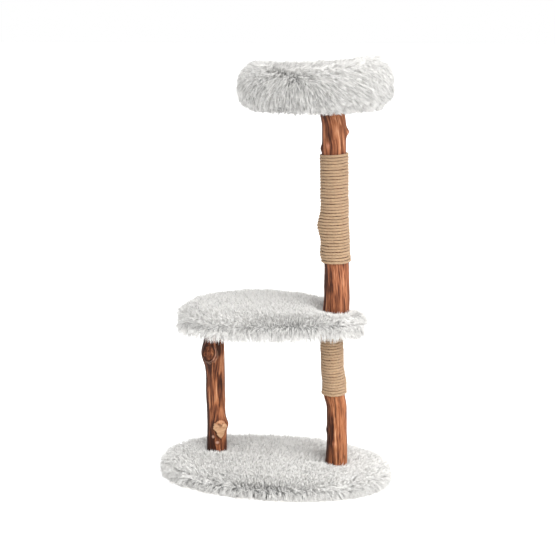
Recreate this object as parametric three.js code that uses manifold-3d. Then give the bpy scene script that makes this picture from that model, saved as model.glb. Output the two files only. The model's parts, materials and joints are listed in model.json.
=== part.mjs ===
// Cat tree: an oval fur-covered base, two natural log posts, a fur-covered
// middle platform and a round fur-covered bed on the tall post.
// Units are millimetres, +Z is up, the origin is the middle of the base's
// underside, +X runs along the base towards the tall post.
import * as THREE from 'three';
import { mergeVertices } from 'three/addons/utils/BufferGeometryUtils.js';
import Module from 'manifold-3d';

const wasm = await Module();
wasm.setup();

// ---------------------------------------------------------------- dimensions
const GAP = 0.3;                 // clearance between touching pieces

// fur
const PILE = 22;                 // pile outside the board's edge
const CLOTH = 1.7;               // backing cloth squeezed under a log

// base
const BASE_A = 297.3, BASE_B = 173.4;      // half axes over the fur
const BASE_TOP = 44;                       // top of the pile
const BASE_SHEET = 1.5;
const BASE_BOARD = 18;

// middle platform, outline over the fur
const PLAT = { cx: 2.1, cy: 18.4, a: 231.4, b: 151.0, c3: -0.085, s3: -0.067, c1: 0.559, s2: -0.035, ex: 2.15 };
const PLAT_LOW = 395, PLAT_HIGH = 447;     // underside and top of the pile
const PLAT_PANEL_Z = 403, PLAT_PANEL = 1.5;
const PLAT_BOARD = 16, PLAT_FOAM = 12;

// bed on top
const BED_CX = 96, BED_CY = 10;            // centre of the dish
const BED_R = 189, BED_SY = 180 / 189;     // outer radius over the fur, depth ratio
const BED_BOARD_R = 150, BED_BOARD = 12;
const UPPER_TOP = 951.6;                   // sawn top of the upper log
const BED_PANEL_Z = 952.0, BED_PANEL = 1.5;

// log posts
const SHORT_POST = [-166.4, 43.0];         // where each bolt stands
const TALL_POST = [155.0, 9.5];
const TALL_JOINT = [146.5, 9.5];           // joint of the two tall logs at the platform
const BED_JOINT = [138.0, 9.5];            // joint of the upper log and the bed

// fasteners, M8
const BOLT_R = 4, BOLT_HOLE_R = 4.6, HEAD_AF = 13, HEAD_H = 5.3;
const WASHER_R = 11, WASHER_T = 1.6, COUNTERBORE_R = 12.5;
const INSERT_R = 6, INSERT_BORE_R = 4.35, INSERT_L = 30;

const SEG = 18;                  // sides of a log

// ------------------------------------------------------------------ helpers
function solid(geo) {
  let g = geo.clone();
  for (const n of ['normal', 'uv', 'color']) g.deleteAttribute(n);
  g = mergeVertices(g, 1e-4);
  const pos = g.attributes.position.array;
  const idx = g.index.array;
  const tri = [];
  for (let i = 0; i < idx.length; i += 3) {
    const a = idx[i], b = idx[i + 1], c = idx[i + 2];
    if (a !== b && b !== c && c !== a) tri.push(a, b, c);
  }
  return new wasm.Manifold(new wasm.Mesh({
    numProp: 3,
    vertProperties: new Float32Array(pos),
    triVerts: new Uint32Array(tri),
  }));
}

function geometryOf(m) {
  const mesh = m.getMesh();
  const g = new THREE.BufferGeometry();
  const n = mesh.numProp;
  const count = mesh.vertProperties.length / n;
  const pos = new Float32Array(count * 3);
  for (let i = 0; i < count; i++) {
    for (let k = 0; k < 3; k++) pos[i * 3 + k] = mesh.vertProperties[i * n + k];
  }
  g.setAttribute('position', new THREE.BufferAttribute(pos, 3));
  g.setIndex(new THREE.BufferAttribute(new Uint32Array(mesh.triVerts), 1));
  g.computeVertexNormals();
  return g;
}

// closed outline in the plane, offset inwards by `inset`
function outline(p, inset, count = 48) {
  const pts = [];
  for (let i = 0; i < count; i++) {
    const t = (i / count) * Math.PI * 2;
    const ct = Math.cos(t), st = Math.sin(t);
    let x = p.a * Math.sign(ct) * Math.abs(ct) ** (2 / p.ex);
    let y = p.b * Math.sign(st) * Math.abs(st) ** (2 / p.ex);
    const k = 1 + p.c3 * Math.cos(3 * t) + p.s3 * Math.sin(3 * t) + p.s2 * Math.sin(2 * t);
    y *= 1 - p.c1 * ct;
    x *= k; y *= k;
    pts.push(new THREE.Vector2(x, y));
  }
  // move each point inwards along the local normal
  return pts.map((q, i) => {
    const a = pts[(i + count - 1) % count], b = pts[(i + 1) % count];
    const d = new THREE.Vector2(b.x - a.x, b.y - a.y).normalize();
    return new THREE.Vector2(q.x - d.y * inset + p.cx, q.y + d.x * inset + p.cy);
  });
}

const BASE = { cx: 0, cy: 0, a: BASE_A, b: BASE_B, c3: 0, s3: 0, c1: 0, s2: 0, ex: 2.15 };

// flat plate of an outline, optionally with rounded edges
function plate(pts, z0, z1, round = 0, steps = 2) {
  const shape = new THREE.Shape(pts);
  const g = new THREE.ExtrudeGeometry(shape, {
    depth: z1 - z0 - 2 * round,
    bevelEnabled: round > 0,
    bevelThickness: round,
    bevelSize: round,
    bevelOffset: -round,
    bevelSegments: steps,
    curveSegments: 1,
    steps: 1,
  });
  g.translate(0, 0, z0 + round);
  return g;
}

function cylinder(r, z0, z1, x, y, sides = 14) {
  const g = new THREE.CylinderGeometry(r, r, z1 - z0, sides);
  g.rotateX(Math.PI / 2);
  g.translate(x, y, (z0 + z1) / 2);
  return g;
}

// solid of revolution about +Z from (radius, z) points; a closed ring when
// the profile doesn't touch the axis
function revolve(profile, sides) {
  const pts = profile.map(([r, z]) => new THREE.Vector2(r, z));
  if (pts[0].x > 0) pts.push(pts[0].clone());
  const g = new THREE.LatheGeometry(pts, sides);
  g.rotateX(Math.PI / 2);
  return g;
}

// LatheGeometry's faces point out when the profile runs up the outside; this
// turns any body the right way round
function outward(geo) {
  let g = geo.clone();
  for (const n of ['normal', 'uv']) g.deleteAttribute(n);
  g = mergeVertices(g, 1e-4);
  const p = g.attributes.position, idx = g.index.array;
  const a = new THREE.Vector3(), b = new THREE.Vector3(), c = new THREE.Vector3();
  let vol = 0;
  for (let i = 0; i < idx.length; i += 3) {
    a.fromBufferAttribute(p, idx[i]); b.fromBufferAttribute(p, idx[i + 1]); c.fromBufferAttribute(p, idx[i + 2]);
    vol += a.dot(b.cross(c));
  }
  if (vol < 0) {
    for (let i = 0; i < idx.length; i += 3) {
      const t = idx[i + 1]; idx[i + 1] = idx[i + 2]; idx[i + 2] = t;
    }
  }
  return g;
}

const solidOf = (geo) => solid(outward(geo));

// ---------------------------------------------------------------- log shapes
const lerpTable = (table, z) => {
  if (z <= table[0][0]) return table[0][1];
  for (let i = 1; i < table.length; i++) {
    if (z <= table[i][0]) {
      const [z0, v0] = table[i - 1], [z1, v1] = table[i];
      const t = (z - z0) / (z1 - z0);
      return v0 + (v1 - v0) * t * t * (3 - 2 * t);
    }
  }
  return table[table.length - 1][1];
};

// each log: centre line and radius by height, and its knots
const LOGS = {
  short: {
    x: [[22, -165.2], [60, -165.4], [110, -165.2], [160, -166.6], [200, -167.2], [250, -166.6], [403, -168.4]],
    y: [[22, 43], [150, 44.5], [280, 42], [403, 43]],
    r: [[22, 27.2], [60, 26.0], [110, 24.8], [150, 24.4], [185, 25.4], [250, 25.4], [330, 26.0], [403, 26.6]],
    oval: 0.03, phase: 0.6,
    knots: [
      { a: 254, z: 313, h: 8.5, wa: 0.40, wz: 18 },
      { a: 208, z: 307, h: 11.0, wa: 0.55, wz: 22 },
      { a: 315, z: 106, h: 4.5, wa: 0.45, wz: 19 },
      { a: 345, z: 113, h: 5.5, wa: 0.45, wz: 9 },
      { a: 100, z: 190, h: 3.0, wa: 0.50, wz: 20 },
    ],
    rows: [22.1, 60, 92, 104, 113, 124, 150, 200, 250, 284, 303, 318, 345, 402.7],
  },
  lower: {
    x: [[22, 157.8], [60, 159.0], [100, 159.6], [125, 158.8], [185, 158.0], [235, 151.2], [300, 145.4], [403, 141.9]],
    y: [[22, 9.5], [130, 12.0], [260, 9.0], [403, 9.5]],
    r: [[22, 29.0], [60, 28.0], [90, 27.0], [135, 26.5], [184, 26.5], [212, 26.6], [250, 25.2], [300, 24.2], [403, 24.6]],
    oval: 0.03, phase: 1.9,
    knots: [
      { a: 20, z: 262, h: 2.2, wa: 0.6, wz: 18 },
      { a: 200, z: 218, h: 2.6, wa: 0.6, wz: 14 },
    ],
    rows: [22.1, 60, 110, 160, 195, 221, 248, 270, 300, 350, 399, 402.7],
  },
  upper: {
    x: [[423, 152.0], [480, 155.0], [550, 153.4], [600, 149.7], [690, 147.0], [760, 145.2], [850, 143.2], [900, 142.8], [952, 135.8]],
    y: [[423, 9.5], [560, 11.5], [700, 8.5], [830, 11], [952, 9.5]],
    r: [[423, 34.2], [500, 32.4], [570, 31.7], [700, 30.2], [840, 30.2], [900, 30.2], [952, 32.0]],
    oval: 0.03, phase: 0.2,
    knots: [
      { a: 190, z: 658, h: 8.5, wa: 0.55, wz: 18 },
      { a: 185, z: 592, h: 3.0, wa: 0.55, wz: 13 },
      { a: 10, z: 887, h: 5.0, wa: 0.30, wz: 8 },
      { a: 150, z: 500, h: 2.5, wa: 0.5, wz: 18 },
    ],
    rows: [423.1, 480, 530, 563, 577, 592, 612, 640, 655, 672, 690, 720, 775, 841, 872, 886, 900, UPPER_TOP],
  },
};

function logRadius(log, a, z) {
  let r = lerpTable(log.r, z);
  r *= 1 + log.oval * Math.cos(2 * a + log.phase + z / 260);
  for (const k of log.knots) {
    let d = a - (k.a * Math.PI) / 180;
    d = Math.atan2(Math.sin(d), Math.cos(d));
    r += k.h * Math.exp(-0.5 * (d / k.wa) ** 2 - 0.5 * ((z - k.z) / k.wz) ** 2);
  }
  return r;
}

// moves the points of a straight body onto the log: a point's own radius is
// its offset from the bark
function bendOnLog(geo, log) {
  const p = geo.attributes.position;
  for (let i = 0; i < p.count; i++) {
    const x = p.getX(i), y = p.getY(i), z = p.getZ(i);
    const rr = Math.hypot(x, y);
    const cx = lerpTable(log.x, z), cy = lerpTable(log.y, z);
    if (rr < 1e-6) { p.setXYZ(i, cx, cy, z); continue; }
    const a = Math.atan2(y, x);
    const r = logRadius(log, a, z) + (rr - 100);
    p.setXYZ(i, cx + r * Math.cos(a), cy + r * Math.sin(a), z);
  }
  return geo;
}

function logBody(log, offset = 0, z0 = -Infinity, z1 = Infinity) {
  const rows = log.rows.filter((z) => z >= z0 && z <= z1);
  if (z0 !== -Infinity && rows[0] !== z0) rows.unshift(z0);
  if (z1 !== Infinity && rows[rows.length - 1] !== z1) rows.push(z1);
  const prof = [[0, rows[0]], ...rows.map((z) => [100 + offset, z]), [0, rows[rows.length - 1]]];
  return bendOnLog(outward(revolve(prof, SEG)), log);
}

// a sleeve round a log between two heights, over the bark by inner..outer
function sleeve(log, inner, outer, z0, z1) {
  return geometryOf(solidOf(logBody(log, outer, z0, z1)).subtract(solidOf(logBody(log, inner))));
}

// --------------------------------------------------------------- fasteners
// hex bolt; the head is on the side of `dir` = -1 (head below) or +1 (above)
function hexBolt(x, y, zHead, zTip, dir) {
  const r = HEAD_AF / 2 / Math.cos(Math.PI / 6);
  const h0 = dir < 0 ? zHead - HEAD_H : zHead;
  const head = solidOf(cylinder(r, h0, h0 + HEAD_H, x, y, 6));
  const s0 = Math.min(zHead + (dir < 0 ? -1 : 1), zTip), s1 = Math.max(zHead + (dir < 0 ? -1 : 1), zTip);
  const shank = solidOf(cylinder(BOLT_R, s0, s1, x, y, 12));
  return geometryOf(head.add(shank));
}

function ring(rIn, rOut, z0, z1, x, y, sides = 16) {
  const g = outward(revolve([[rIn, z0], [rOut, z0], [rOut, z1], [rIn, z1]], sides));
  g.translate(x, y, 0);
  return g;
}

// threaded insert with a flange at the end of a log
function insert(x, y, zEnd, dir) {
  const f = 1.6, lip = 8.2;
  const z = (d) => zEnd + dir * d;
  const prof = [
    [INSERT_BORE_R, z(0.4)], [lip, z(0.4)], [lip, z(0.4 + f)], [INSERT_R, z(0.4 + f)],
    [INSERT_R, z(INSERT_L)], [INSERT_BORE_R, z(INSERT_L)],
  ];
  const g = outward(revolve(prof, 14));
  g.translate(x, y, 0);
  return g;
}

// the hole in a log that takes an insert, its flange and the bolt's tip
function insertPocket(x, y, zEnd, dir, depth) {
  const lo = (a, b) => [Math.min(a, b), Math.max(a, b)];
  const [a0, a1] = lo(zEnd - dir * 3, zEnd + dir * (INSERT_L + 1));
  const [b0, b1] = lo(zEnd - dir * 3, zEnd + dir * 2.3);
  const [c0, c1] = lo(zEnd - dir * 3, zEnd + dir * depth);
  return solidOf(cylinder(INSERT_R + GAP, a0, a1, x, y))
    .add(solidOf(cylinder(8.2 + GAP, b0, b1, x, y)))
    .add(solidOf(cylinder(BOLT_HOLE_R, c0, c1, x, y)));
}

// ------------------------------------------------------------- the assembly
const tree = new THREE.Group();
const MAT = {
  fur: { color: 0xe2e2df, roughness: 0.95, metalness: 0 },
  wood: { color: 0xa0643c, roughness: 0.7, metalness: 0 },
  rope: { color: 0xc8a078, roughness: 0.95, metalness: 0 },
  board: { color: 0xc9b28c, roughness: 0.85, metalness: 0 },
  lining: { color: 0x8f8f8c, roughness: 0.95, metalness: 0 },
  foam: { color: 0xf0ead2, roughness: 1, metalness: 0 },
  steel: { color: 0xb8bcc0, roughness: 0.35, metalness: 1 },
};
function piece(name, geo, mat) {
  const g = geo.clone();
  g.deleteAttribute('uv');
  g.computeVertexNormals();
  const m = new THREE.Mesh(g, new THREE.MeshStandardMaterial(MAT[mat]));
  m.name = name;
  tree.add(m);
}

const logs = LOGS;
const shortFoot = SHORT_POST, tallFoot = TALL_POST;

// ---- base ----
const baseBoardZ0 = BASE_SHEET + GAP, baseBoardZ1 = baseBoardZ0 + BASE_BOARD;
{
  const edge = outline(BASE, PILE);
  let sheet = solidOf(plate(edge, 0, BASE_SHEET));
  let board = solidOf(plate(edge, baseBoardZ0, baseBoardZ1));
  let cover = solidOf(plate(outline(BASE, 0), 0.4, BASE_TOP, 13));
  cover = cover.subtract(solidOf(plate(outline(BASE, PILE - GAP), -5, baseBoardZ1 + GAP)));
  for (const [p, log] of [[shortFoot, logs.short], [tallFoot, logs.lower]]) {
    sheet = sheet.subtract(solidOf(cylinder(COUNTERBORE_R + 2, -5, 5, ...p)));
    board = board.subtract(solidOf(cylinder(COUNTERBORE_R, -5, baseBoardZ0 + 8.2, ...p)));
    board = board.subtract(solidOf(cylinder(BOLT_HOLE_R, -5, 60, ...p)));
    cover = cover.subtract(solidOf(cylinder(BOLT_HOLE_R, 5, 60, ...p)));
    cover = cover.subtract(solidOf(logBody(log, GAP + 0.2, 21.8, 70)));
  }
  piece('base_backing_sheet', geometryOf(sheet), 'lining');
  piece('base_board', geometryOf(board), 'board');
  piece('base_fur_cover', geometryOf(cover), 'fur');
}
const seat = baseBoardZ0 + 8.2 - GAP;          // face the washers pull on
for (const [tag, p] of [['short_post', shortFoot], ['tall_post', tallFoot]]) {
  piece(`base_washer_${tag}`, ring(BOLT_R + 0.4, WASHER_R, seat - WASHER_T, seat, ...p), 'steel');
  piece(`base_bolt_${tag}`, hexBolt(p[0], p[1], seat - WASHER_T - 0.2, 22 + 46, -1), 'steel');
}

// ---- short post ----
{
  const top = [-168.5, 43.0];
  let body = solidOf(logBody(logs.short));
  body = body.subtract(insertPocket(...shortFoot, 22.1, 1, 52));
  body = body.subtract(insertPocket(...top, 402.7, -1, 48));
  piece('short_post', geometryOf(body), 'wood');
  piece('short_post_lower_insert', insert(...shortFoot, 22.1, 1), 'steel');
  piece('short_post_upper_insert', insert(...top, 402.7, -1), 'steel');
}

// ---- tall post, lower log ----
{
  let body = solidOf(logBody(logs.lower));
  body = body.subtract(insertPocket(...tallFoot, 22.1, 1, 52));
  body = body.subtract(insertPocket(...TALL_JOINT, 402.7, -1, 44));
  piece('lower_post', geometryOf(body), 'wood');
  piece('lower_post_lower_insert', insert(...tallFoot, 22.1, 1), 'steel');
  piece('lower_post_upper_insert', insert(...TALL_JOINT, 402.7, -1), 'steel');
  piece('lower_rope_wrap', sleeve(logs.lower, GAP, 6.0, 221, 399), 'rope');
}

// ---- middle platform ----
const platBoardZ0 = PLAT_PANEL_Z + PLAT_PANEL + GAP, platBoardZ1 = platBoardZ0 + PLAT_BOARD;
const platFoamZ0 = platBoardZ1 + GAP, platFoamZ1 = platFoamZ0 + PLAT_FOAM;
const upperStand = 423.1;
{
  const edge = outline(PLAT, PILE);
  const shortTop = [-168.5, 43.0];
  let panel = solidOf(plate(edge, PLAT_PANEL_Z, PLAT_PANEL_Z + PLAT_PANEL));
  let board = solidOf(plate(edge, platBoardZ0, platBoardZ1));
  let foam = solidOf(plate(edge, platFoamZ0, platFoamZ1, 4, 1));
  const footR = 39;
  foam = foam.subtract(solidOf(cylinder(footR, 400, 460, 150.5, 9.5, 28)));
  let cover = solidOf(plate(outline(PLAT, 0), PLAT_LOW, PLAT_HIGH, 16));
  let hollow = solidOf(plate(outline(PLAT, PILE - GAP), PLAT_LOW - 10, platBoardZ1 + GAP));
  hollow = hollow.add(solidOf(plate(outline(PLAT, PILE - GAP), platBoardZ0, platFoamZ1 + GAP, 4, 1))
    .subtract(solidOf(cylinder(footR - GAP, platBoardZ1 + GAP, 460, 150.5, 9.5, 28))));
  cover = cover.subtract(hollow);
  cover = cover.subtract(solidOf(logBody(logs.upper, GAP + 0.2, upperStand - GAP, 470)));
  cover = cover.subtract(solidOf(cylinder(BOLT_HOLE_R, 400, 460, ...TALL_JOINT)));
  for (const p of [shortTop, TALL_JOINT]) {
    panel = panel.subtract(solidOf(cylinder(BOLT_HOLE_R, 380, 460, ...p)));
    board = board.subtract(solidOf(cylinder(BOLT_HOLE_R, 380, 460, ...p)));
  }
  board = board.subtract(solidOf(cylinder(COUNTERBORE_R, platBoardZ1 - 8.2, platBoardZ1 + 5, ...shortTop)));
  piece('platform_underside_panel', geometryOf(panel), 'lining');
  piece('platform_board', geometryOf(board), 'board');
  piece('platform_foam_pad', geometryOf(foam), 'foam');
  piece('platform_fur_cover', geometryOf(cover), 'fur');
  const s = platBoardZ1 - 8.2 + GAP;
  piece('platform_washer', ring(BOLT_R + 0.4, WASHER_R, s, s + WASHER_T, ...shortTop), 'steel');
  piece('platform_bolt', hexBolt(shortTop[0], shortTop[1], s + WASHER_T + 0.2, 402.7 - 40, 1), 'steel');
  piece('platform_joint_stud', outward(cylinder(BOLT_R, 402.7 - 38, upperStand + 38, ...TALL_JOINT, 12)), 'steel');
}

// ---- tall post, upper log ----
{
  let body = solidOf(logBody(logs.upper));
  body = body.subtract(insertPocket(...TALL_JOINT, 423.1, 1, 44));
  body = body.subtract(insertPocket(...BED_JOINT, UPPER_TOP, -1, 48));
  piece('upper_post', geometryOf(body), 'wood');
  piece('upper_post_lower_insert', insert(...TALL_JOINT, 423.1, 1), 'steel');
  piece('upper_post_upper_insert', insert(...BED_JOINT, UPPER_TOP, -1), 'steel');
  piece('upper_rope_wrap', sleeve(logs.upper, GAP, 6.0, 563, 841), 'rope');
}

// ---- bed ----
const bedBoardZ0 = BED_PANEL_Z + BED_PANEL + GAP, bedBoardZ1 = bedBoardZ0 + BED_BOARD;
const BED_SEG = 34;
// the rim stands highest on the right, dips at the front and the back and
// rises a little again on the left
function bedShape(geo) {
  const p = geo.attributes.position;
  for (let i = 0; i < p.count; i++) {
    const x = p.getX(i), y = p.getY(i), z = p.getZ(i);
    const a = Math.atan2(y, x), r = Math.hypot(x, y);
    const up = THREE.MathUtils.smoothstep(z, 985, 1050) * THREE.MathUtils.smoothstep(r, 40, 130);
    const lift = -0.75 + 7.5 * Math.cos(a) + 4 * Math.sin(a) + 6.25 * Math.cos(2 * a);
    p.setXYZ(i, x + BED_CX, y * BED_SY + BED_CY, z + up * lift);
  }
  return geo;
}
{
  const b1 = bedBoardZ1 + GAP;
  const inner = [
    [BED_BOARD_R + GAP, 942.5], [BED_BOARD_R + GAP, b1], [160, 974], [165.3, 994], [160.5, 1014],
    [148, 1025], [134, 1026.5], [120, 1020], [109, 1004], [104.6, 985], [104.6, 983.2], [0, 984.5],
  ];
  const outer = [
    [0, 1003], [50, 1003.5], [84, 1009], [106, 1024], [122, 1039], [138, 1047.5], [156, 1046],
    [173, 1033], [184, 1015], [BED_R, 992], [186, 968], [178, 952], [166, 943], [156, 941],
  ];
  const cover = outward(revolve([...outer, ...inner], BED_SEG));
  const bolster = outward(revolve([
    [105.2, b1], [BED_BOARD_R - 1, b1], [159.4, 974.4], [164.7, 994], [160, 1013.6],
    [147.8, 1024.4], [134, 1025.9], [120.4, 1019.4], [109.6, 1003.8], [105.2, 985],
  ], BED_SEG));
  const pad = outward(revolve([[0, b1], [98, b1], [103.4, 970.5], [103.6, 976], [99, 982.4], [0, 983.8]], BED_SEG));
  let panel = solidOf(bedShape(outward(revolve([[0, BED_PANEL_Z], [BED_BOARD_R, BED_PANEL_Z],
    [BED_BOARD_R, BED_PANEL_Z + BED_PANEL], [0, BED_PANEL_Z + BED_PANEL]], BED_SEG))));
  let board = solidOf(bedShape(outward(revolve([[0, bedBoardZ0], [BED_BOARD_R, bedBoardZ0],
    [BED_BOARD_R, bedBoardZ1], [0, bedBoardZ1]], BED_SEG))));
  panel = panel.subtract(solidOf(cylinder(BOLT_HOLE_R, 930, 990, ...BED_JOINT)));
  board = board.subtract(solidOf(cylinder(BOLT_HOLE_R, 930, 990, ...BED_JOINT)));
  board = board.subtract(solidOf(cylinder(COUNTERBORE_R, bedBoardZ1 - 7.8, 990, ...BED_JOINT)));
  piece('bed_underside_panel', geometryOf(panel), 'lining');
  piece('bed_board', geometryOf(board), 'board');
  piece('bed_bolster', bedShape(bolster), 'foam');
  piece('bed_foam_pad', bedShape(pad), 'foam');
  piece('bed_fur_cover', bedShape(cover), 'fur');
  const s = bedBoardZ1 - 7.8 + GAP;
  piece('bed_washer', ring(BOLT_R + 0.4, WASHER_R, s, s + WASHER_T, ...BED_JOINT), 'steel');
  piece('bed_bolt', hexBolt(BED_JOINT[0], BED_JOINT[1], s + WASHER_T + 0.2, UPPER_TOP - 40, 1), 'steel');
}

export default tree;
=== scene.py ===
import bpy, json, math
import numpy as np
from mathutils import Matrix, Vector


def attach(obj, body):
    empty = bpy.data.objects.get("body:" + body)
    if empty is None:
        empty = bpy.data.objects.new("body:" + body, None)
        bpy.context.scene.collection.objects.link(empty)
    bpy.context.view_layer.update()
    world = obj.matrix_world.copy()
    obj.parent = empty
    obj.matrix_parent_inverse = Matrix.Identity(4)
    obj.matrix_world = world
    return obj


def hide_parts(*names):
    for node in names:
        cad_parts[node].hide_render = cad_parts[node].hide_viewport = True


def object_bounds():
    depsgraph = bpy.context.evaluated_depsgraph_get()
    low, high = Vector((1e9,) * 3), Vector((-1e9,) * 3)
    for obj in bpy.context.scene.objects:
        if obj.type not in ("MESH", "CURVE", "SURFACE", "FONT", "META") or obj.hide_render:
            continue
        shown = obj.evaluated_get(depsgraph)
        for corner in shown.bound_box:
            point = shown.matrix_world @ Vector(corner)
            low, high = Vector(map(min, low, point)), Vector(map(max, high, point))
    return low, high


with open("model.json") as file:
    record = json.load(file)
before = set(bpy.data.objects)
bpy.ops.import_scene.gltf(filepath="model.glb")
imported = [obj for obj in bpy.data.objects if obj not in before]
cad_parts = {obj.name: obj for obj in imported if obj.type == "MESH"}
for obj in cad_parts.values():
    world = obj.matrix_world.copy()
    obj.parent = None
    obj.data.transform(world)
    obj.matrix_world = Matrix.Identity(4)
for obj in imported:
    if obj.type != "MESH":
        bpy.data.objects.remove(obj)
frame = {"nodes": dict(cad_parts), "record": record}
CAD_BOX = [[float(c) for c in v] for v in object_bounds()]
MM = 0.001

# --------------------------------------------------------------------------
# camera, lights and floor
# --------------------------------------------------------------------------
_lo, _hi = (Vector(v) for v in CAD_BOX)
target = Vector((0.00607, 0.0, _hi.z * 0.4938))
AZ, PITCH, DIST = math.radians(10), math.radians(13), 2.75
back = Vector((math.sin(AZ) * math.cos(PITCH), -math.cos(AZ) * math.cos(PITCH), math.sin(PITCH)))
cam_data = bpy.data.cameras.new("camera")
cam_data.lens, cam_data.sensor_width = 71.35, 36.0
cam = bpy.data.objects.new("camera", cam_data)
bpy.context.scene.collection.objects.link(cam)
cam.location = target + back * DIST
cam.rotation_euler = (-back).to_track_quat("-Z", "Y").to_euler()
bpy.context.scene.camera = cam


def sun(name, toward, strength, soft, colour=(1, 1, 1)):
    """A soft sun; `toward` points from the object to the light."""
    d = bpy.data.lights.new(name, "SUN")
    d.energy, d.angle, d.color = strength, math.radians(soft), colour
    o = bpy.data.objects.new(name, d)
    o.location = Vector(toward) * 3
    o.rotation_euler = (-Vector(toward)).to_track_quat("-Z", "Y").to_euler()
    bpy.context.scene.collection.objects.link(o)
    return o


sun("key", (0.42, -0.55, 1.00), 1.75, 70, (1.0, 0.99, 0.975))
sun("front", (0.92, -0.66, 0.48), 1.62, 60, (1.0, 0.995, 0.985))

# studio surround: bright round the horizon, softer overhead
world = bpy.data.worlds.new("world")
bpy.context.scene.world = world
world.use_nodes = True
_nt = world.node_tree
_tc = _nt.nodes.new("ShaderNodeTexCoord")
_sp = _nt.nodes.new("ShaderNodeSeparateXYZ")
_rp = _nt.nodes.new("ShaderNodeValToRGB")
_nt.links.new(_tc.outputs["Generated"], _sp.inputs[0])
_nt.links.new(_sp.outputs["Z"], _rp.inputs[0])
_e = _rp.color_ramp.elements
_e[0].position, _e[0].color = 0.03, (1.0, 1.0, 1.0, 1)
_e[1].position, _e[1].color = 0.16, (0.88, 0.88, 0.88, 1)
_e.new(0.75).color = (1.12, 1.12, 1.12, 1)
# the studio's sides are dimmer, the left one most
_hx = _nt.nodes.new("ShaderNodeMapRange")
_hx.inputs["From Min"].default_value, _hx.inputs["From Max"].default_value = -1.0, -0.45
_hx.inputs["To Min"].default_value, _hx.inputs["To Max"].default_value = 0.40, 1.0
_nt.links.new(_sp.outputs["X"], _hx.inputs["Value"])
_hr = _nt.nodes.new("ShaderNodeMapRange")
_hr.inputs["From Min"].default_value, _hr.inputs["From Max"].default_value = 0.35, 1.0
_hr.inputs["To Min"].default_value, _hr.inputs["To Max"].default_value = 1.0, 0.62
_nt.links.new(_sp.outputs["X"], _hr.inputs["Value"])
_hm = _nt.nodes.new("ShaderNodeMath")
_hm.operation = "MULTIPLY"
_nt.links.new(_hx.outputs[0], _hm.inputs[0])
_nt.links.new(_hr.outputs[0], _hm.inputs[1])
_hz = _nt.nodes.new("ShaderNodeMapRange")       # not in the band round the horizon
_hz.inputs["From Min"].default_value, _hz.inputs["From Max"].default_value = 0.24, 0.40
_nt.links.new(_sp.outputs["Z"], _hz.inputs["Value"])
_hk = _nt.nodes.new("ShaderNodeMix")
_hk.inputs["A"].default_value = 1.0
_nt.links.new(_hz.outputs[0], _hk.inputs["Factor"])
_nt.links.new(_hm.outputs[0], _hk.inputs["B"])
_mx = _nt.nodes.new("ShaderNodeVectorMath")
_mx.operation = "SCALE"
_nt.links.new(_rp.outputs[0], _mx.inputs[0])
_nt.links.new(_hk.outputs["Result"], _mx.inputs["Scale"])
_nt.links.new(_mx.outputs[0], _nt.nodes["Background"].inputs[0])
_nt.nodes["Background"].inputs[1].default_value = 1.0
bpy.context.scene.view_settings.view_transform = "Standard"


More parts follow.
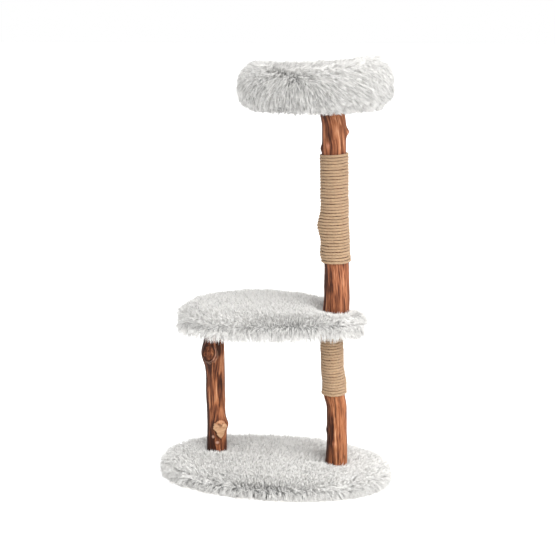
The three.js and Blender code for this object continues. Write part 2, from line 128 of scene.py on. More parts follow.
# --------------------------------------------------------------------------
# node helpers
# --------------------------------------------------------------------------
class Mat:
    def __init__(self, name, rough=0.6, **sockets):
        self.m = bpy.data.materials.new(name)
        self.m.use_nodes = True
        self.nt = self.m.node_tree
        self.p = self.nt.nodes["Principled BSDF"]
        self.p.inputs["Roughness"].default_value = rough
        for k, v in sockets.items():
            self.p.inputs[k.replace("_", " ")].default_value = v

    def n(self, kind, **kw):
        x = self.nt.nodes.new(kind)
        for k, v in kw.items():
            if k.startswith("i_"):
                x.inputs[k[2:]].default_value = v
            else:
                setattr(x, k, v)
        return x

    def link(self, a, b):
        self.nt.links.new(a, b)

    def coords(self, scale=(1, 1, 1)):
        t = self.n("ShaderNodeTexCoord")
        m = self.n("ShaderNodeMapping")
        m.inputs["Scale"].default_value = scale
        self.link(t.outputs["Object"], m.inputs["Vector"])
        return m.outputs["Vector"]

    def attr(self, name, out="Fac"):
        a = self.n("ShaderNodeAttribute")
        a.attribute_name = name
        return a.outputs[out]

    def noise(self, vec, scale, detail=3.0, rough=0.55, distort=0.0, out="Fac"):
        x = self.n("ShaderNodeTexNoise")
        x.inputs["Scale"].default_value = scale
        x.inputs["Detail"].default_value = detail
        x.inputs["Roughness"].default_value = rough
        x.inputs["Distortion"].default_value = distort
        if vec is not None:
            self.link(vec, x.inputs["Vector"])
        return x.outputs[out]

    def ramp(self, fac, stops, interp="LINEAR"):
        r = self.n("ShaderNodeValToRGB")
        r.color_ramp.interpolation = interp
        e = r.color_ramp.elements
        while len(e) < len(stops):
            e.new(0.5)
        for el, (pos, col) in zip(e, stops):
            el.position = pos
            el.color = (*col, 1) if len(col) == 3 else col
        self.link(fac, r.inputs["Fac"])
        return r.outputs["Color"]

    def mix(self, fac, a, b, kind="MIX"):
        x = self.n("ShaderNodeMix", data_type="RGBA", blend_type=kind)
        for sock, v in ((x.inputs[0], fac), (x.inputs[6], a), (x.inputs[7], b)):
            if hasattr(v, "is_output"):
                self.link(v, sock)
            elif isinstance(v, (int, float)):
                sock.default_value = v
            else:
                sock.default_value = (*v, 1)
        return x.outputs[2]

    def math(self, op, a, b=None, c=None, clamp=False):
        x = self.n("ShaderNodeMath", operation=op, use_clamp=clamp)
        for i, v in enumerate((a, b, c)):
            if v is None:
                continue
            if hasattr(v, "is_output"):
                self.link(v, x.inputs[i])
            else:
                x.inputs[i].default_value = v
        return x.outputs[0]

    def colour(self, out):
        self.link(out, self.p.inputs["Base Color"])

    def roughness(self, fac, lo, hi):
        m = self.n("ShaderNodeMapRange")
        m.inputs["To Min"].default_value = lo
        m.inputs["To Max"].default_value = hi
        self.link(fac, m.inputs["Value"])
        self.link(m.outputs["Result"], self.p.inputs["Roughness"])

    def bump(self, height, strength=0.5, distance=0.001, chain=None):
        b = self.n("ShaderNodeBump")
        b.inputs["Strength"].default_value = strength
        b.inputs["Distance"].default_value = distance
        self.link(height, b.inputs["Height"])
        if chain is not None:
            self.link(chain, b.inputs["Normal"])
        self.link(b.outputs["Normal"], self.p.inputs["Normal"])
        return b.outputs["Normal"]


def grey(v):
    return (v, v, v)


# --------------------------------------------------------------------------
# mesh helpers
# --------------------------------------------------------------------------
def mesh_object(name, V, F, mat, uv=None, smooth=True, attrs=None):
    """V (n,3) in metres, F (m,k) with k 3 or 4, uv (m*k,2) per loop."""
    V = np.ascontiguousarray(V, dtype=np.float32)
    F = np.ascontiguousarray(F, dtype=np.int32)
    m, k = F.shape
    me = bpy.data.meshes.new(name)
    me.vertices.add(len(V))
    me.vertices.foreach_set("co", V.ravel())
    me.loops.add(m * k)
    me.loops.foreach_set("vertex_index", F.ravel())
    me.polygons.add(m)
    me.polygons.foreach_set("loop_start", np.arange(m, dtype=np.int32) * k)
    me.polygons.foreach_set("loop_total", np.full(m, k, dtype=np.int32))
    me.update(calc_edges=True)
    me.polygons.foreach_set("use_smooth", np.full(m, bool(smooth)))
    if uv is not None:
        layer = me.uv_layers.new(name="OFBake")
        layer.data.foreach_set("uv", np.ascontiguousarray(uv, dtype=np.float32).ravel())
    for key, val in (attrs or {}).items():
        val = np.ascontiguousarray(val, dtype=np.float32)
        if val.ndim == 2:
            a = me.attributes.new(key, "FLOAT_VECTOR", "POINT")
            a.data.foreach_set("vector", val.ravel())
        else:
            a = me.attributes.new(key, "FLOAT", "POINT")
            a.data.foreach_set("value", val)
    o = bpy.data.objects.new(name, me)
    bpy.context.scene.collection.objects.link(o)
    if mat is not None:
        me.materials.append(mat)
    return o


def grid_faces(rows, cols, wrap=True):
    """Quads of a rows x cols grid, wrapped round the columns."""
    i = np.arange(rows - 1)[:, None]
    j = np.arange(cols if wrap else cols - 1)[None, :]
    a = i * cols + j
    b = i * cols + (j + 1) % cols
    return np.stack([a, b, b + cols, a + cols], -1).reshape(-1, 4)


def smoothstep(x, a, b):
    t = np.clip((x - a) / (b - a), 0, 1)
    return t * t * (3 - 2 * t)


def _hash(ix, iy, iz, seed):
    h = (ix.astype(np.int64) * 73856093) ^ (iy.astype(np.int64) * 19349663) ^ (iz.astype(np.int64) * 83492791) ^ (seed * 2654435761)
    h = (h & 0xFFFFFFFF).astype(np.uint64)
    h = (h ^ (h >> np.uint64(16))) * np.uint64(0x45D9F3B) & np.uint64(0xFFFFFFFF)
    h = (h ^ (h >> np.uint64(16))) * np.uint64(0x45D9F3B) & np.uint64(0xFFFFFFFF)
    h = h ^ (h >> np.uint64(16))
    return (h & np.uint64(0xFFFFFF)).astype(np.float64) / float(0x1000000)


def vnoise(P, scale, seed=0):
    """Smooth value noise, -1..1, with cells `scale` wide."""
    Q = P / scale
    I = np.floor(Q).astype(np.int64)
    f = Q - I
    f = f * f * (3 - 2 * f)
    out = 0
    for dx in (0, 1):
        wx = f[:, 0] if dx else 1 - f[:, 0]
        for dy in (0, 1):
            wy = f[:, 1] if dy else 1 - f[:, 1]
            for dz in (0, 1):
                wz = f[:, 2] if dz else 1 - f[:, 2]
                out = out + wx * wy * wz * _hash(I[:, 0] + dx, I[:, 1] + dy, I[:, 2] + dz, seed)
    return out * 2 - 1


def vnoise3(P, scale, seed=0):
    return np.stack([vnoise(P, scale, seed + k * 17) for k in range(3)], -1)


def fbm(P, scale, seed=0, octaves=4, gain=0.5):
    s, a, t = 0, 1.0, 0
    for o in range(octaves):
        s = s + a * vnoise(P, scale / 2 ** o, seed + 31 * o)
        t += a
        a *= gain
    return s / t


def unit(v):
    return v / np.maximum(np.linalg.norm(v, axis=-1, keepdims=True), 1e-9)


# --------------------------------------------------------------------------
# the design's shapes, in millimetres, as the CAD has them
# --------------------------------------------------------------------------
BASE = dict(cx=0, cy=0, a=297.3, b=173.4, c3=0, s3=0, c1=0, s2=0, ex=2.15)
PLAT = dict(cx=2.1, cy=18.4, a=231.4, b=151.0, c3=-0.085, s3=-0.067, c1=0.559, s2=-0.035, ex=2.15)
BED_CX, BED_CY, BED_SY = 96.0, 10.0, 180 / 189


def outline(p, inset, t):
    ct, st = np.cos(t), np.sin(t)

    def raw(t):
        ct, st = np.cos(t), np.sin(t)
        x = p["a"] * np.sign(ct) * np.abs(ct) ** (2 / p["ex"])
        y = p["b"] * np.sign(st) * np.abs(st) ** (2 / p["ex"])
        k = 1 + p["c3"] * np.cos(3 * t) + p["s3"] * np.sin(3 * t) + p["s2"] * np.sin(2 * t)
        y = y * (1 - p["c1"] * ct)
        return np.stack([x * k, y * k], -1)

    q = raw(t)
    d = raw(t + 0.03) - raw(t - 0.03)
    d /= np.linalg.norm(d, axis=-1, keepdims=True)
    return np.stack([q[:, 0] - d[:, 1] * inset + p["cx"], q[:, 1] + d[:, 0] * inset + p["cy"]], -1)


def table(t, z):
    zs = np.array([a for a, _ in t], float)
    vs = np.array([b for _, b in t], float)
    z = np.asarray(z, float)
    i = np.clip(np.searchsorted(zs, z, side="left"), 1, len(zs) - 1)
    f = np.clip((z - zs[i - 1]) / (zs[i] - zs[i - 1]), 0, 1)
    f = f * f * (3 - 2 * f)
    return vs[i - 1] + (vs[i] - vs[i - 1]) * f


LOGS = dict(
    short=dict(
        x=[[22, -165.2], [60, -165.4], [110, -165.2], [160, -166.6], [200, -167.2], [250, -166.6], [403, -168.4]],
        y=[[22, 43], [150, 44.5], [280, 42], [403, 43]],
        r=[[22, 27.2], [60, 26.0], [110, 24.8], [150, 24.4], [185, 25.4], [250, 25.4], [330, 26.0], [403, 26.6]],
        oval=0.03, phase=0.6,
        knots=[(254, 313, 8.5, 0.40, 18), (208, 307, 11.0, 0.55, 22), (315, 106, 4.5, 0.45, 19), (345, 113, 5.5, 0.45, 9),
               (100, 190, 3.0, 0.50, 20)],
        z=(22.1, 402.7)),
    lower=dict(
        x=[[22, 157.8], [60, 159.0], [100, 159.6], [125, 158.8], [185, 158.0], [235, 151.2], [300, 145.4], [403, 141.9]],
        y=[[22, 9.5], [130, 12.0], [260, 9.0], [403, 9.5]],
        r=[[22, 29.0], [60, 28.0], [90, 27.0], [135, 26.5], [184, 26.5], [212, 26.6], [250, 25.2], [300, 24.2], [403, 24.6]],
        oval=0.03, phase=1.9,
        knots=[(20, 262, 2.2, 0.6, 18), (200, 218, 2.6, 0.6, 14)],
        z=(22.1, 402.7)),
    upper=dict(
        x=[[423, 152.0], [480, 155.0], [550, 153.4], [600, 149.7], [690, 147.0], [760, 145.2], [850, 143.2], [900, 142.8], [952, 135.8]],
        y=[[423, 9.5], [560, 11.5], [700, 8.5], [830, 11], [952, 9.5]],
        r=[[423, 34.2], [500, 32.4], [570, 31.7], [700, 30.2], [840, 30.2], [900, 30.2], [952, 32.0]],
        oval=0.03, phase=0.2,
        knots=[(190, 658, 8.5, 0.55, 18), (185, 592, 3.0, 0.55, 13), (10, 887, 5.0, 0.30, 8), (150, 500, 2.5, 0.5, 18)],
        z=(423.1, 951.6)),
)


def wrap_angle(d):
    return np.arctan2(np.sin(d), np.cos(d))


def log_radius(log, a, z):
    r = table(log["r"], z) * (1 + log["oval"] * np.cos(2 * a + log["phase"] + z / 260))
    for ka, kz, h, wa, wz in log["knots"]:
        d = wrap_angle(a - math.radians(ka))
        r = r + h * np.exp(-0.5 * (d / wa) ** 2 - 0.5 * ((z - kz) / wz) ** 2)
    return r


# --------------------------------------------------------------------------
# fur: where it grows
# --------------------------------------------------------------------------
CAP = 25                 # rings in the middle of a skin
COLS = 8 * CAP           # points round each ring outside it


def disc_cap():
    """An even grid bent onto a disc: radius share, angle and quads; the rim's
    points come back in order of angle."""
    m = 2 * CAP + 1
    i, j = (g.ravel() - CAP for g in np.meshgrid(np.arange(m), np.arange(m), indexing="ij"))
    k = np.maximum(abs(i), abs(j))
    kk = np.maximum(k, 1)
    t = np.where(i == k, j / kk, np.where(j == k, 2 - i / kk, np.where(i == -k, 4 - j / kk, 6 + i / kk))) * math.pi / 4
    t = np.where(k == 0, 0, t) % (2 * math.pi)
    q = np.arange(m - 1)[:, None] * m + np.arange(m - 1)[None, :]
    F = np.stack([q, q + m, q + m + 1, q + 1], -1).reshape(-1, 4)
    rim = np.flatnonzero(k == CAP)
    rim = rim[np.argsort(np.round(t[rim] / (2 * math.pi) * COLS).astype(int) % COLS)]
    return k / CAP, t, F, rim


def skin_mesh(top, rings):
    """top(s, t) gives the middle's points and rings lists what goes on outside it."""
    sh, t, F, rim = disc_cap()
    V = [top(sh, t)] + rings
    n0 = len(V[0])
    faces = [F]
    prev = rim
    for r in range(len(rings)):
        cur = n0 + r * COLS + np.arange(COLS)
        faces.append(np.stack([prev, cur, np.roll(cur, -1), np.roll(prev, -1)], -1))
        prev = cur
    return np.concatenate(V), np.concatenate(faces)


RING_T = np.arange(COLS) / COLS * 2 * math.pi


def hold_down(V, log, z_hold, reach, near=1.0):
    """Draws the cloth down to where a log's foot clamps it."""
    cx, cy = table(log["x"], log["z"][0]), table(log["y"], log["z"][0])
    dx, dy = V[:, 0] - cx, V[:, 1] - cy
    d = np.hypot(dx, dy) - log_radius(log, np.arctan2(dy, dx), np.full(len(V), log["z"][0] + 3.0))
    k = 1 - smoothstep(d, near, reach)
    top = V[:, 2] > z_hold
    V[:, 2] = np.where(top, V[:, 2] + (z_hold - V[:, 2]) * k, V[:, 2])
    return k > 0.97


def plate_skin(p, z_low, z_top, inset, edge, lip=6.0, crown=0.0, feet=()):
    """The cloth over a board: crowned top, rounded edge, side and a turned-in hem."""
    rim = outline(p, inset + edge, RING_T)
    c = rim.mean(0)

    def top(sh, t):
        q = c + (outline(p, inset + edge, t) - c) * sh[:, None]
        return np.c_[q, z_top + crown * (1 - sh ** 2)]

    R = []
    for a in np.linspace(0, math.pi / 2, 4)[1:]:
        q = outline(p, inset + edge * (1 - math.sin(a)), RING_T)
        R.append(np.c_[q, np.full(COLS, z_top - edge * (1 - math.cos(a)))])
    for z in np.linspace(z_top - edge, z_low + 3, 5)[1:]:
        R.append(np.c_[outline(p, inset, RING_T), np.full(COLS, z)])
    for a in np.linspace(0, math.pi / 2, 3)[1:]:
        R.append(np.c_[outline(p, inset + 3 * (1 - math.cos(a)), RING_T), np.full(COLS, z_low + 3 - 3 * math.sin(a))])
    R.append(np.c_[outline(p, inset + 3 + lip, RING_T), np.full(COLS, z_low)])
    V, F = skin_mesh(top, R)
    pin = np.zeros(len(V), bool)
    pin[-COLS * 4:] = True
    for log, z_hold, reach in feet:
        pin |= hold_down(V, log, z_hold, reach)
    return V, F, pin


# radius and height of the bed's cloth, from the rim of the dish floor outwards
BED_FLOOR_R = 96.0
BED_OUT = [(96, 987.5), (103, 991), (109.5, 1006), (119, 1022.5), (133, 1031.5), (149, 1031.0), (163.5, 1019.5),
           (170.2, 997.5), (167.5, 976), (159, 962.5), (153.0, 954.5), (150.5, 951.0), (146, 950.4), (138, 951.0)]


def bed_lift(x, y, z):
    a, r = np.arctan2(y, x), np.hypot(x, y)
    up = smoothstep(z, 985, 1050) * smoothstep(r, 40, 130)
    return up * (-0.75 + 7.5 * np.cos(a) + 4 * np.sin(a) + 6.25 * np.cos(2 * a))


def bed_skin():
    prof = np.array(BED_OUT, float)
    seg = np.linalg.norm(np.diff(prof, axis=0), axis=1)
    s = np.r_[0, np.cumsum(seg)]
    u = np.linspace(0, s[-1], int(s[-1] / 6.0))
    pts = np.stack([np.interp(u, s, prof[:, 0]), np.interp(u, s, prof[:, 1])], -1)
    for _ in range(2):
        pts[1:-1] = 0.25 * pts[:-2] + 0.5 * pts[1:-1] + 0.25 * pts[2:]

    def place(x, y, z):
        zz = z + bed_lift(x, y, np.where(z > 984, z + 16.0, z))
        return np.stack([x + BED_CX, y * BED_SY + BED_CY, zz], -1)

    def top(sh, t):
        r = BED_FLOOR_R * sh
        return place(r * np.cos(t), r * np.sin(t), 986.0 + 1.5 * smoothstep(sh, 0.5, 1.0))

    R = [place(r * np.cos(RING_T), r * np.sin(RING_T), np.full(COLS, z)) for r, z in pts[1:]]
    V, F = skin_mesh(top, R)
    pin = np.zeros(len(V), bool)
    pin[-COLS * 4:] = True
    return V, F, pin


def puff(V, F, pin, pressure, cap, keep_flat=None):
    """Cloth simulation: the foam under the cover swells it between its held
    edges. Each point moves at most `cap` mm."""
    sc = bpy.context.scene
    me = bpy.data.meshes.new("cloth_work")
    me.from_pydata((V * MM).tolist(), [], F.tolist())
    o = bpy.data.objects.new("cloth_work", me)
    sc.collection.objects.link(o)
    g = o.vertex_groups.new(name="held")
    g.add([int(i) for i in np.flatnonzero(pin)], 1.0, "REPLACE")
    mod = o.modifiers.new("cloth", "CLOTH")
    st = mod.settings
    st.quality = 5
    st.mass = 0.25
    st.tension_stiffness = st.compression_stiffness = 12
    st.shear_stiffness = 4
    st.bending_stiffness = 0.4
    st.use_pressure = True
    st.uniform_pressure_force = pressure
    st.vertex_group_mass = "held"
    st.effector_weights.gravity = 0
    mod.point_cache.frame_start, mod.point_cache.frame_end = 1, 20
    for f in range(1, 21):
        sc.frame_set(f)
    ev = o.evaluated_get(bpy.context.evaluated_depsgraph_get())
    W = np.empty(len(V) * 3)
    ev.data.vertices.foreach_get("co", W)
    D = W.reshape(-1, 3) / MM - V
    bpy.data.objects.remove(o)
    bpy.data.meshes.remove(me)
    sc.frame_set(1)
    d = np.linalg.norm(D, axis=1, keepdims=True)
    print("cloth moved, mm: mean", round(float(d.mean()), 2), "max", round(float(d.max()), 2))
    D = D * (np.tanh(d / cap) * cap / np.maximum(d, 1e-9))
    return V + D


def vertex_normals(V, F):
    a, b, c, d = (V[F[:, k]] for k in range(4))
    fn = np.cross(c - a, d - b)
    N = np.zeros_like(V)
    for k in range(4):
        np.add.at(N, F[:, k], fn)
    return unit(N)


def scatter(V, F, N, count, rng, weight=None):
    """Even random points on a quad mesh, with smooth normals."""
    T = np.concatenate([F[:, [0, 1, 2]], F[:, [0, 2, 3]]])
    a, b, c = V[T[:, 0]], V[T[:, 1]], V[T[:, 2]]
    area = np.linalg.norm(np.cross(b - a, c - a), axis=1) / 2
    if weight is not None:
        area = area * weight((a + b + c) / 3)
    cum = np.cumsum(area)
    cum /= cum[-1]
    order = (np.arange(count) + rng.random(count)) / count
    i = np.minimum(np.searchsorted(cum, order), len(T) - 1)
    r1, r2 = np.sqrt(rng.random(count)), rng.random(count)
    w = np.stack([1 - r1, r1 * (1 - r2), r1 * r2], -1)[..., None]
    P = (V[T[i]] * w).sum(1)
    Q = unit((N[T[i]] * w).sum(1))
    return P, Q


def near_logs(P, logs, margin):
    """Pushes points out of the logs; returns the points and how far in they were."""
    P = P.copy()
    deep = np.full(len(P), -1e9)
    for log in logs:
        z = P[:, 2]
        m = (z > log["z"][0] - 4) & (z < log["z"][1] + 4)
        if not m.any():
            continue
        q = P[m]
        cx, cy = table(log["x"], q[:, 2]), table(log["y"], q[:, 2])
        dx, dy = q[:, 0] - cx, q[:, 1] - cy
        rr = np.hypot(dx, dy)
        a = np.arctan2(dy, dx)
        R = log_radius(log, a, q[:, 2]) + margin
        inside = R - rr
        deep[m] = np.maximum(deep[m], inside)
        f = np.where(inside > 0, R / np.maximum(rr, 1e-6), 1)
        q[:, 0], q[:, 1] = cx + dx * f, cy + dy * f
        P[m] = q
    return P, deep


VARIANTS = 32


def grow(P, N, comb, length, width, rng, up=0.9, gravity=0.35, clump=0.72, cell=3.6, tuft=38.0, wild=0.16, lock=0.62, light=0.0, flat=1.0, spread=0.85, strand=0.13, stand=0.0, logs=(), floor=None, seed=1):
    """Strands from points P with normals N, lying along comb: closed
    three-sided tapering solids. All in millimetres."""
    n = len(P)
    cell = np.broadcast_to(np.asarray(cell, float), (n,))[:, None]
    cid = np.floor(P / cell + vnoise3(P, 8.0, seed) * 0.45)
    rnd = np.stack([_hash(cid[:, 0].astype(np.int64), cid[:, 1].astype(np.int64), cid[:, 2].astype(np.int64), seed + k) for k in range(5)], -1)
    centre = (cid + 0.5) * cell
    big = vnoise3(P, tuft, seed + 5)
    fine = rng.normal(size=(n, 3))
    c = comb + big * 0.26 + (rnd[:, :3] - 0.5) * lock + fine * wild
    c = c - (c * N).sum(1, keepdims=True) * N
    c = unit(c)
    lift = (up * (0.8 + 0.4 * rnd[:, 3] + 0.16 * rng.normal(size=n)))[:, None]
    gravity = np.broadcast_to(np.asarray(gravity, float), (n,))[:, None]
    flat = np.broadcast_to(np.asarray(flat(P, N) if callable(flat) else flat, float), (n,))[:, None]
    L = length * (0.88 + 0.16 * rng.random(n)) * (0.70 + 0.50 * rnd[:, 4])
    g = np.array([0, 0, -1.0])
    stand = np.broadcast_to(np.asarray(stand(P, N) if callable(stand) else stand, float), (n,))[:, None]
    G0 = unit(N + np.array([0, 0, 1.0]) * stand)
    K = 4
    pts = [P - N * 1.0]
    q = pts[0]
    for k in range(K - 1):
        t = (k + 0.5) / (K - 1)
        d = unit(G0 * lift * (1 - 0.75 * t) + c * ((0.35 + 0.9 * t) * flat) + g * gravity * t * 1.5)
        q = q + d * (L / (K - 1))[:, None]
        pts.append(q)
    X = np.stack(pts, 1)  # n, K, 3
    clump = np.broadcast_to(np.asarray(clump, float), (n,))[:, None]
    pull = centre - P
    pull = pull - (pull * N).sum(1, keepdims=True) * N
    for k in range(1, K):
        t = k / (K - 1)
        X[:, k] += pull * (clump * t ** 1.5)
        if logs:
            X[:, k], _ = near_logs(X[:, k], logs, 0.9 + 0.25 * k)
        if floor is not None:
            low = floor + 0.9 * rng.random(n)
            X[:, k, 2] = np.maximum(X[:, k, 2], low)
    T = np.empty_like(X)
    T[:, 0] = X[:, 1] - X[:, 0]
    T[:, 1:-1] = X[:, 2:] - X[:, :-2]
    T[:, -1] = X[:, -1] - X[:, -2]
    T = unit(T)
    side = unit(np.cross(T, N[:, None, :] + 0.25 * rng.normal(size=(n, 1, 3))))
    upv = np.cross(side, T)
    w = width * (0.75 + 0.5 * rng.random(n))
    taper = np.array([0.85, 1.0, 0.68])
    rings = []
    for k in range(3):
        r = (w * taper[k] / 2)[:, None]
        for a in (math.pi / 2, math.pi * 7 / 6, math.pi * 11 / 6):
            rings.append(X[:, k] + side[:, k] * r * math.cos(a) + upv[:, k] * r * math.sin(a) * 0.8)
    rings.append(X[:, 3])
    V = np.stack(rings, 1)  # n, 10, 3
    quads = []
    for k in range(2):
        for s in range(3):
            a, b = k * 3 + s, k * 3 + (s + 1) % 3
            quads += [(a, b, b + 3), (a, b + 3, a + 3)]
    tris = quads + [(6, 7, 9), (7, 8, 9), (8, 6, 9), (0, 2, 1)]
    tri = np.array(tris)
    # per-loop UV: u picks the strand's tint, v runs from root to tip
    col = {0: 0, 1: 1, 2: 2}
    uvs = []
    for f in tris:
        row = []
        for v in f:
            k = 3 if v == 9 else v // 3
            s = 1 if v == 9 else v % 3
            row.append((0.2 + 0.3 * s, 0.02 + 0.96 * k / 3))
        uvs.append(row)
    uvs = np.array(uvs)  # 16, 3, 2
    # the tint follows broad patches as well as chance, and `light` adds painted light and shade by place
    light = light(P, N) if callable(light) else light
    tone = 0.5 + light + 0.12 * vnoise(P, 34.0, seed + 9) + spread * (rnd[:, 2] - 0.5) + strand * rng.normal(size=n)
    var = np.clip((tone * VARIANTS).astype(int), 0, VARIANTS - 1)
    uv = np.empty((n, len(tris), 3, 2))
    uv[..., 0] = (var[:, None, None] + uvs[None, ..., 0]) / VARIANTS
    uv[..., 1] = uvs[None, ..., 1]
    return V, tri, uv


def pile_pieces(name, grown, P, order, per, mat):
    """Cuts the grown strands into pieces of at most `per` strands."""
    V, tri, uv = grown
    idx = np.argsort(order, kind="stable")
    parts = max(1, math.ceil(len(idx) / per))
    out = []
    for k, ids in enumerate(np.array_split(idx, parts)):
        n = len(ids)
        v = V[ids].reshape(-1, 3) * MM
        f = (tri[None] + (np.arange(n) * 10)[:, None, None]).reshape(-1, 3)
        o = mesh_object(f"{name}_{k + 1}", v, f, mat, uv=uv[ids].reshape(-1, 2))
        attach(o, "root")
        out.append(o)
    return out


# --------------------------------------------------------------------------
# materials
# --------------------------------------------------------------------------
def fur_material():
    m = Mat("shaggy_pile", rough=0.62, Specular_IOR_Level=0.28, Sheen_Weight=0.25, Sheen_Roughness=0.4)
    uvn = m.n("ShaderNodeUVMap", uv_map="OFBake")
    sep = m.n("ShaderNodeSeparateXYZ")
    m.link(uvn.outputs["UV"], sep.inputs[0])
    var = m.math("FLOOR", m.math("MULTIPLY", sep.outputs["X"], float(VARIANTS)))
    tone = m.math("DIVIDE", var, float(VARIANTS - 1))
    # darker towards the root: partly the fur's own grey undertone, partly painted shade deep in the pile
    root_tip = m.ramp(sep.outputs["Y"], [(0.0, grey(0.50)), (0.28, grey(0.73)), (0.52, grey(0.87)), (0.8, grey(0.93)), (1.0, grey(0.94))])
    tint = m.ramp(tone, [(0.0, grey(0.56)), (0.22, grey(0.79)), (0.45, grey(0.90)), (0.75, grey(0.97)), (1.0, grey(1.0))])
    wn = m.n("ShaderNodeTexWhiteNoise", noise_dimensions="1D")
    m.link(var, wn.inputs["W"])
    warm = m.mix(wn.outputs["Value"], (0.985, 0.982, 0.968), (1.0, 0.988, 0.958))
    c = m.mix(1.0, root_tip, tint, "MULTIPLY")
    m.colour(m.mix(1.0, c, warm, "MULTIPLY"))
    return m.m


FUR = fur_material()


def cloth_material(name, a, b, scale=900.0, rough=0.9):
    """Knitted or woven backing cloth."""
    m = Mat(name, rough=rough, Sheen_Weight=0.2)
    vec = m.coords()
    w1 = m.n("ShaderNodeTexWave", wave_type="BANDS", bands_direction="X")
    w1.inputs["Scale"].default_value = scale / 3.2
    w1.inputs["Distortion"].default_value = 1.2
    m.link(vec, w1.inputs["Vector"])
    w2 = m.n("ShaderNodeTexWave", wave_type="BANDS", bands_direction="Y")
    w2.inputs["Scale"].default_value = scale / 3.2
    w2.inputs["Distortion"].default_value = 1.2
    m.link(vec, w2.inputs["Vector"])
    weave = m.math("MULTIPLY", w1.outputs["Fac"], w2.outputs["Fac"])
    patch = m.noise(vec, 35, 4)
    fac = m.math("ADD", m.math("MULTIPLY", weave, 0.6), m.math("MULTIPLY", patch, 0.5), clamp=True)
    m.colour(m.mix(fac, a, b))
    m.roughness(patch, rough - 0.08, rough + 0.06)
    m.bump(weave, 0.5, 0.0006)
    return m.m


BACKING = cloth_material("pile_backing", (0.34, 0.34, 0.335), (0.52, 0.52, 0.51))
LINING = cloth_material("lining_cloth", (0.17, 0.17, 0.17), (0.30, 0.30, 0.295), scale=600)


def wood_material():
    m = Mat("debarked_log", rough=0.6, Specular_IOR_Level=0.10)
    g = m.attr("grain", "Vector")
    streak = m.n("ShaderNodeMapping")
    streak.inputs["Scale"].default_value = (1, 1, 0.055)
    m.link(g, streak.inputs["Vector"])
    sv = streak.outputs["Vector"]
    fine = m.noise(sv, 190, 5, 0.62, 0.6)
    hair = m.noise(sv, 620, 3, 0.6, 0.2)
    # how light each fibre bundle is comes from the mesh, its fibres from noise
    tone = m.math("ADD", m.attr("tone"), m.math("MULTIPLY", m.math("SUBTRACT", fine, 0.5), 1.05))
    tone = m.math("ADD", tone, m.math("MULTIPLY", m.math("SUBTRACT", hair, 0.5), 0.70))
    c = m.ramp(tone, [(0.0, (0.036, 0.013, 0.008)), (0.20, (0.100, 0.034, 0.017)), (0.36, (0.205, 0.070, 0.031)), (0.52, (0.345, 0.130, 0.057)),
                      (0.68, (0.475, 0.215, 0.105)), (0.84, (0.620, 0.355, 0.205)), (1.0, (0.740, 0.520, 0.350))])
    pale = m.attr("pale")
    palecol = m.ramp(m.noise(g, 150, 4, 0.6, 0.5), [(0.32, (0.33, 0.18, 0.095)), (0.48, (0.47, 0.28, 0.155)), (0.66, (0.58, 0.38, 0.23))])
    c = m.mix(pale, c, palecol)
    pink = m.attr("pink")
    c = m.mix(pink, c, m.mix(1.0, c, (1.03, 1.04, 1.40), "MULTIPLY"))
    ring = m.attr("ring")
    c = m.mix(ring, c, (0.030, 0.012, 0.007))
    m.colour(c)
    m.roughness(fine, 0.46, 0.72)
    h = m.math("ADD", m.math("MULTIPLY", fine, 0.8), m.math("MULTIPLY", hair, 0.35))
    m.bump(h, 0.55, 0.0012)
    return m.m


WOOD = wood_material()


def rope_material():
    m = Mat("sisal_yarn", rough=0.82, Specular_IOR_Level=0.25, Sheen_Weight=0.15)
    uvn = m.n("ShaderNodeUVMap", uv_map="OFBake")
    sep = m.n("ShaderNodeSeparateXYZ")
    m.link(uvn.outputs["UV"], sep.inputs[0])
    ang = m.math("MULTIPLY", sep.outputs["X"], 2 * math.pi)
    comb = m.n("ShaderNodeCombineXYZ")
    m.link(m.math("COSINE", ang), comb.inputs[0])
    m.link(m.math("SINE", ang), comb.inputs[1])
    m.link(m.math("MULTIPLY", sep.outputs["Y"], 26.0), comb.inputs[2])
    st = m.n("ShaderNodeMapping")
    st.inputs["Scale"].default_value = (3.0, 3.0, 6.0)
    m.link(comb.outputs[0], st.inputs["Vector"])
    fibre = m.noise(st.outputs["Vector"], 2.2, 4, 0.65, 0.5)
    patch = m.noise(comb.outputs[0], 1.4, 3, 0.5, 0.2)
    c = m.ramp(fibre, [(0.25, (0.24, 0.13, 0.062)), (0.42, (0.43, 0.255, 0.135)), (0.56, (0.60, 0.385, 0.215)), (0.75, (0.76, 0.54, 0.335))])
    tone = m.ramp(patch, [(0.3, (0.80, 0.76, 0.72)), (0.5, (0.97, 0.96, 0.95)), (0.72, (1.12, 1.08, 1.0))])
    c = m.mix(1.0, c, tone, "MULTIPLY")
    m.colour(m.mix(1.0, c, (0.775, 0.85, 0.965), "MULTIPLY"))
    m.bump(fibre, 0.6, 0.0005)
    return m.m


ROPE = rope_material()


def board_material():
    """Particle board: pressed chips in a fine resin ground."""
    m = Mat("particle_board", rough=0.85)
    vec = m.coords()
    v = m.n("ShaderNodeTexVoronoi")
    v.inputs["Scale"].default_value = 420
    m.link(vec, v.inputs["Vector"])
    n1 = m.noise(vec, 260, 4)
    c = m.ramp(v.outputs["Color"], [(0.1, (0.30, 0.20, 0.11)), (0.45, (0.48, 0.35, 0.20)), (0.9, (0.66, 0.52, 0.33))])
    m.colour(m.mix(0.5, c, m.ramp(n1, [(0.3, (0.34, 0.23, 0.13)), (0.7, (0.66, 0.51, 0.32))])))
    m.roughness(n1, 0.75, 0.95)
    m.bump(v.outputs["Distance"], 0.4, 0.0005)
    return m.m


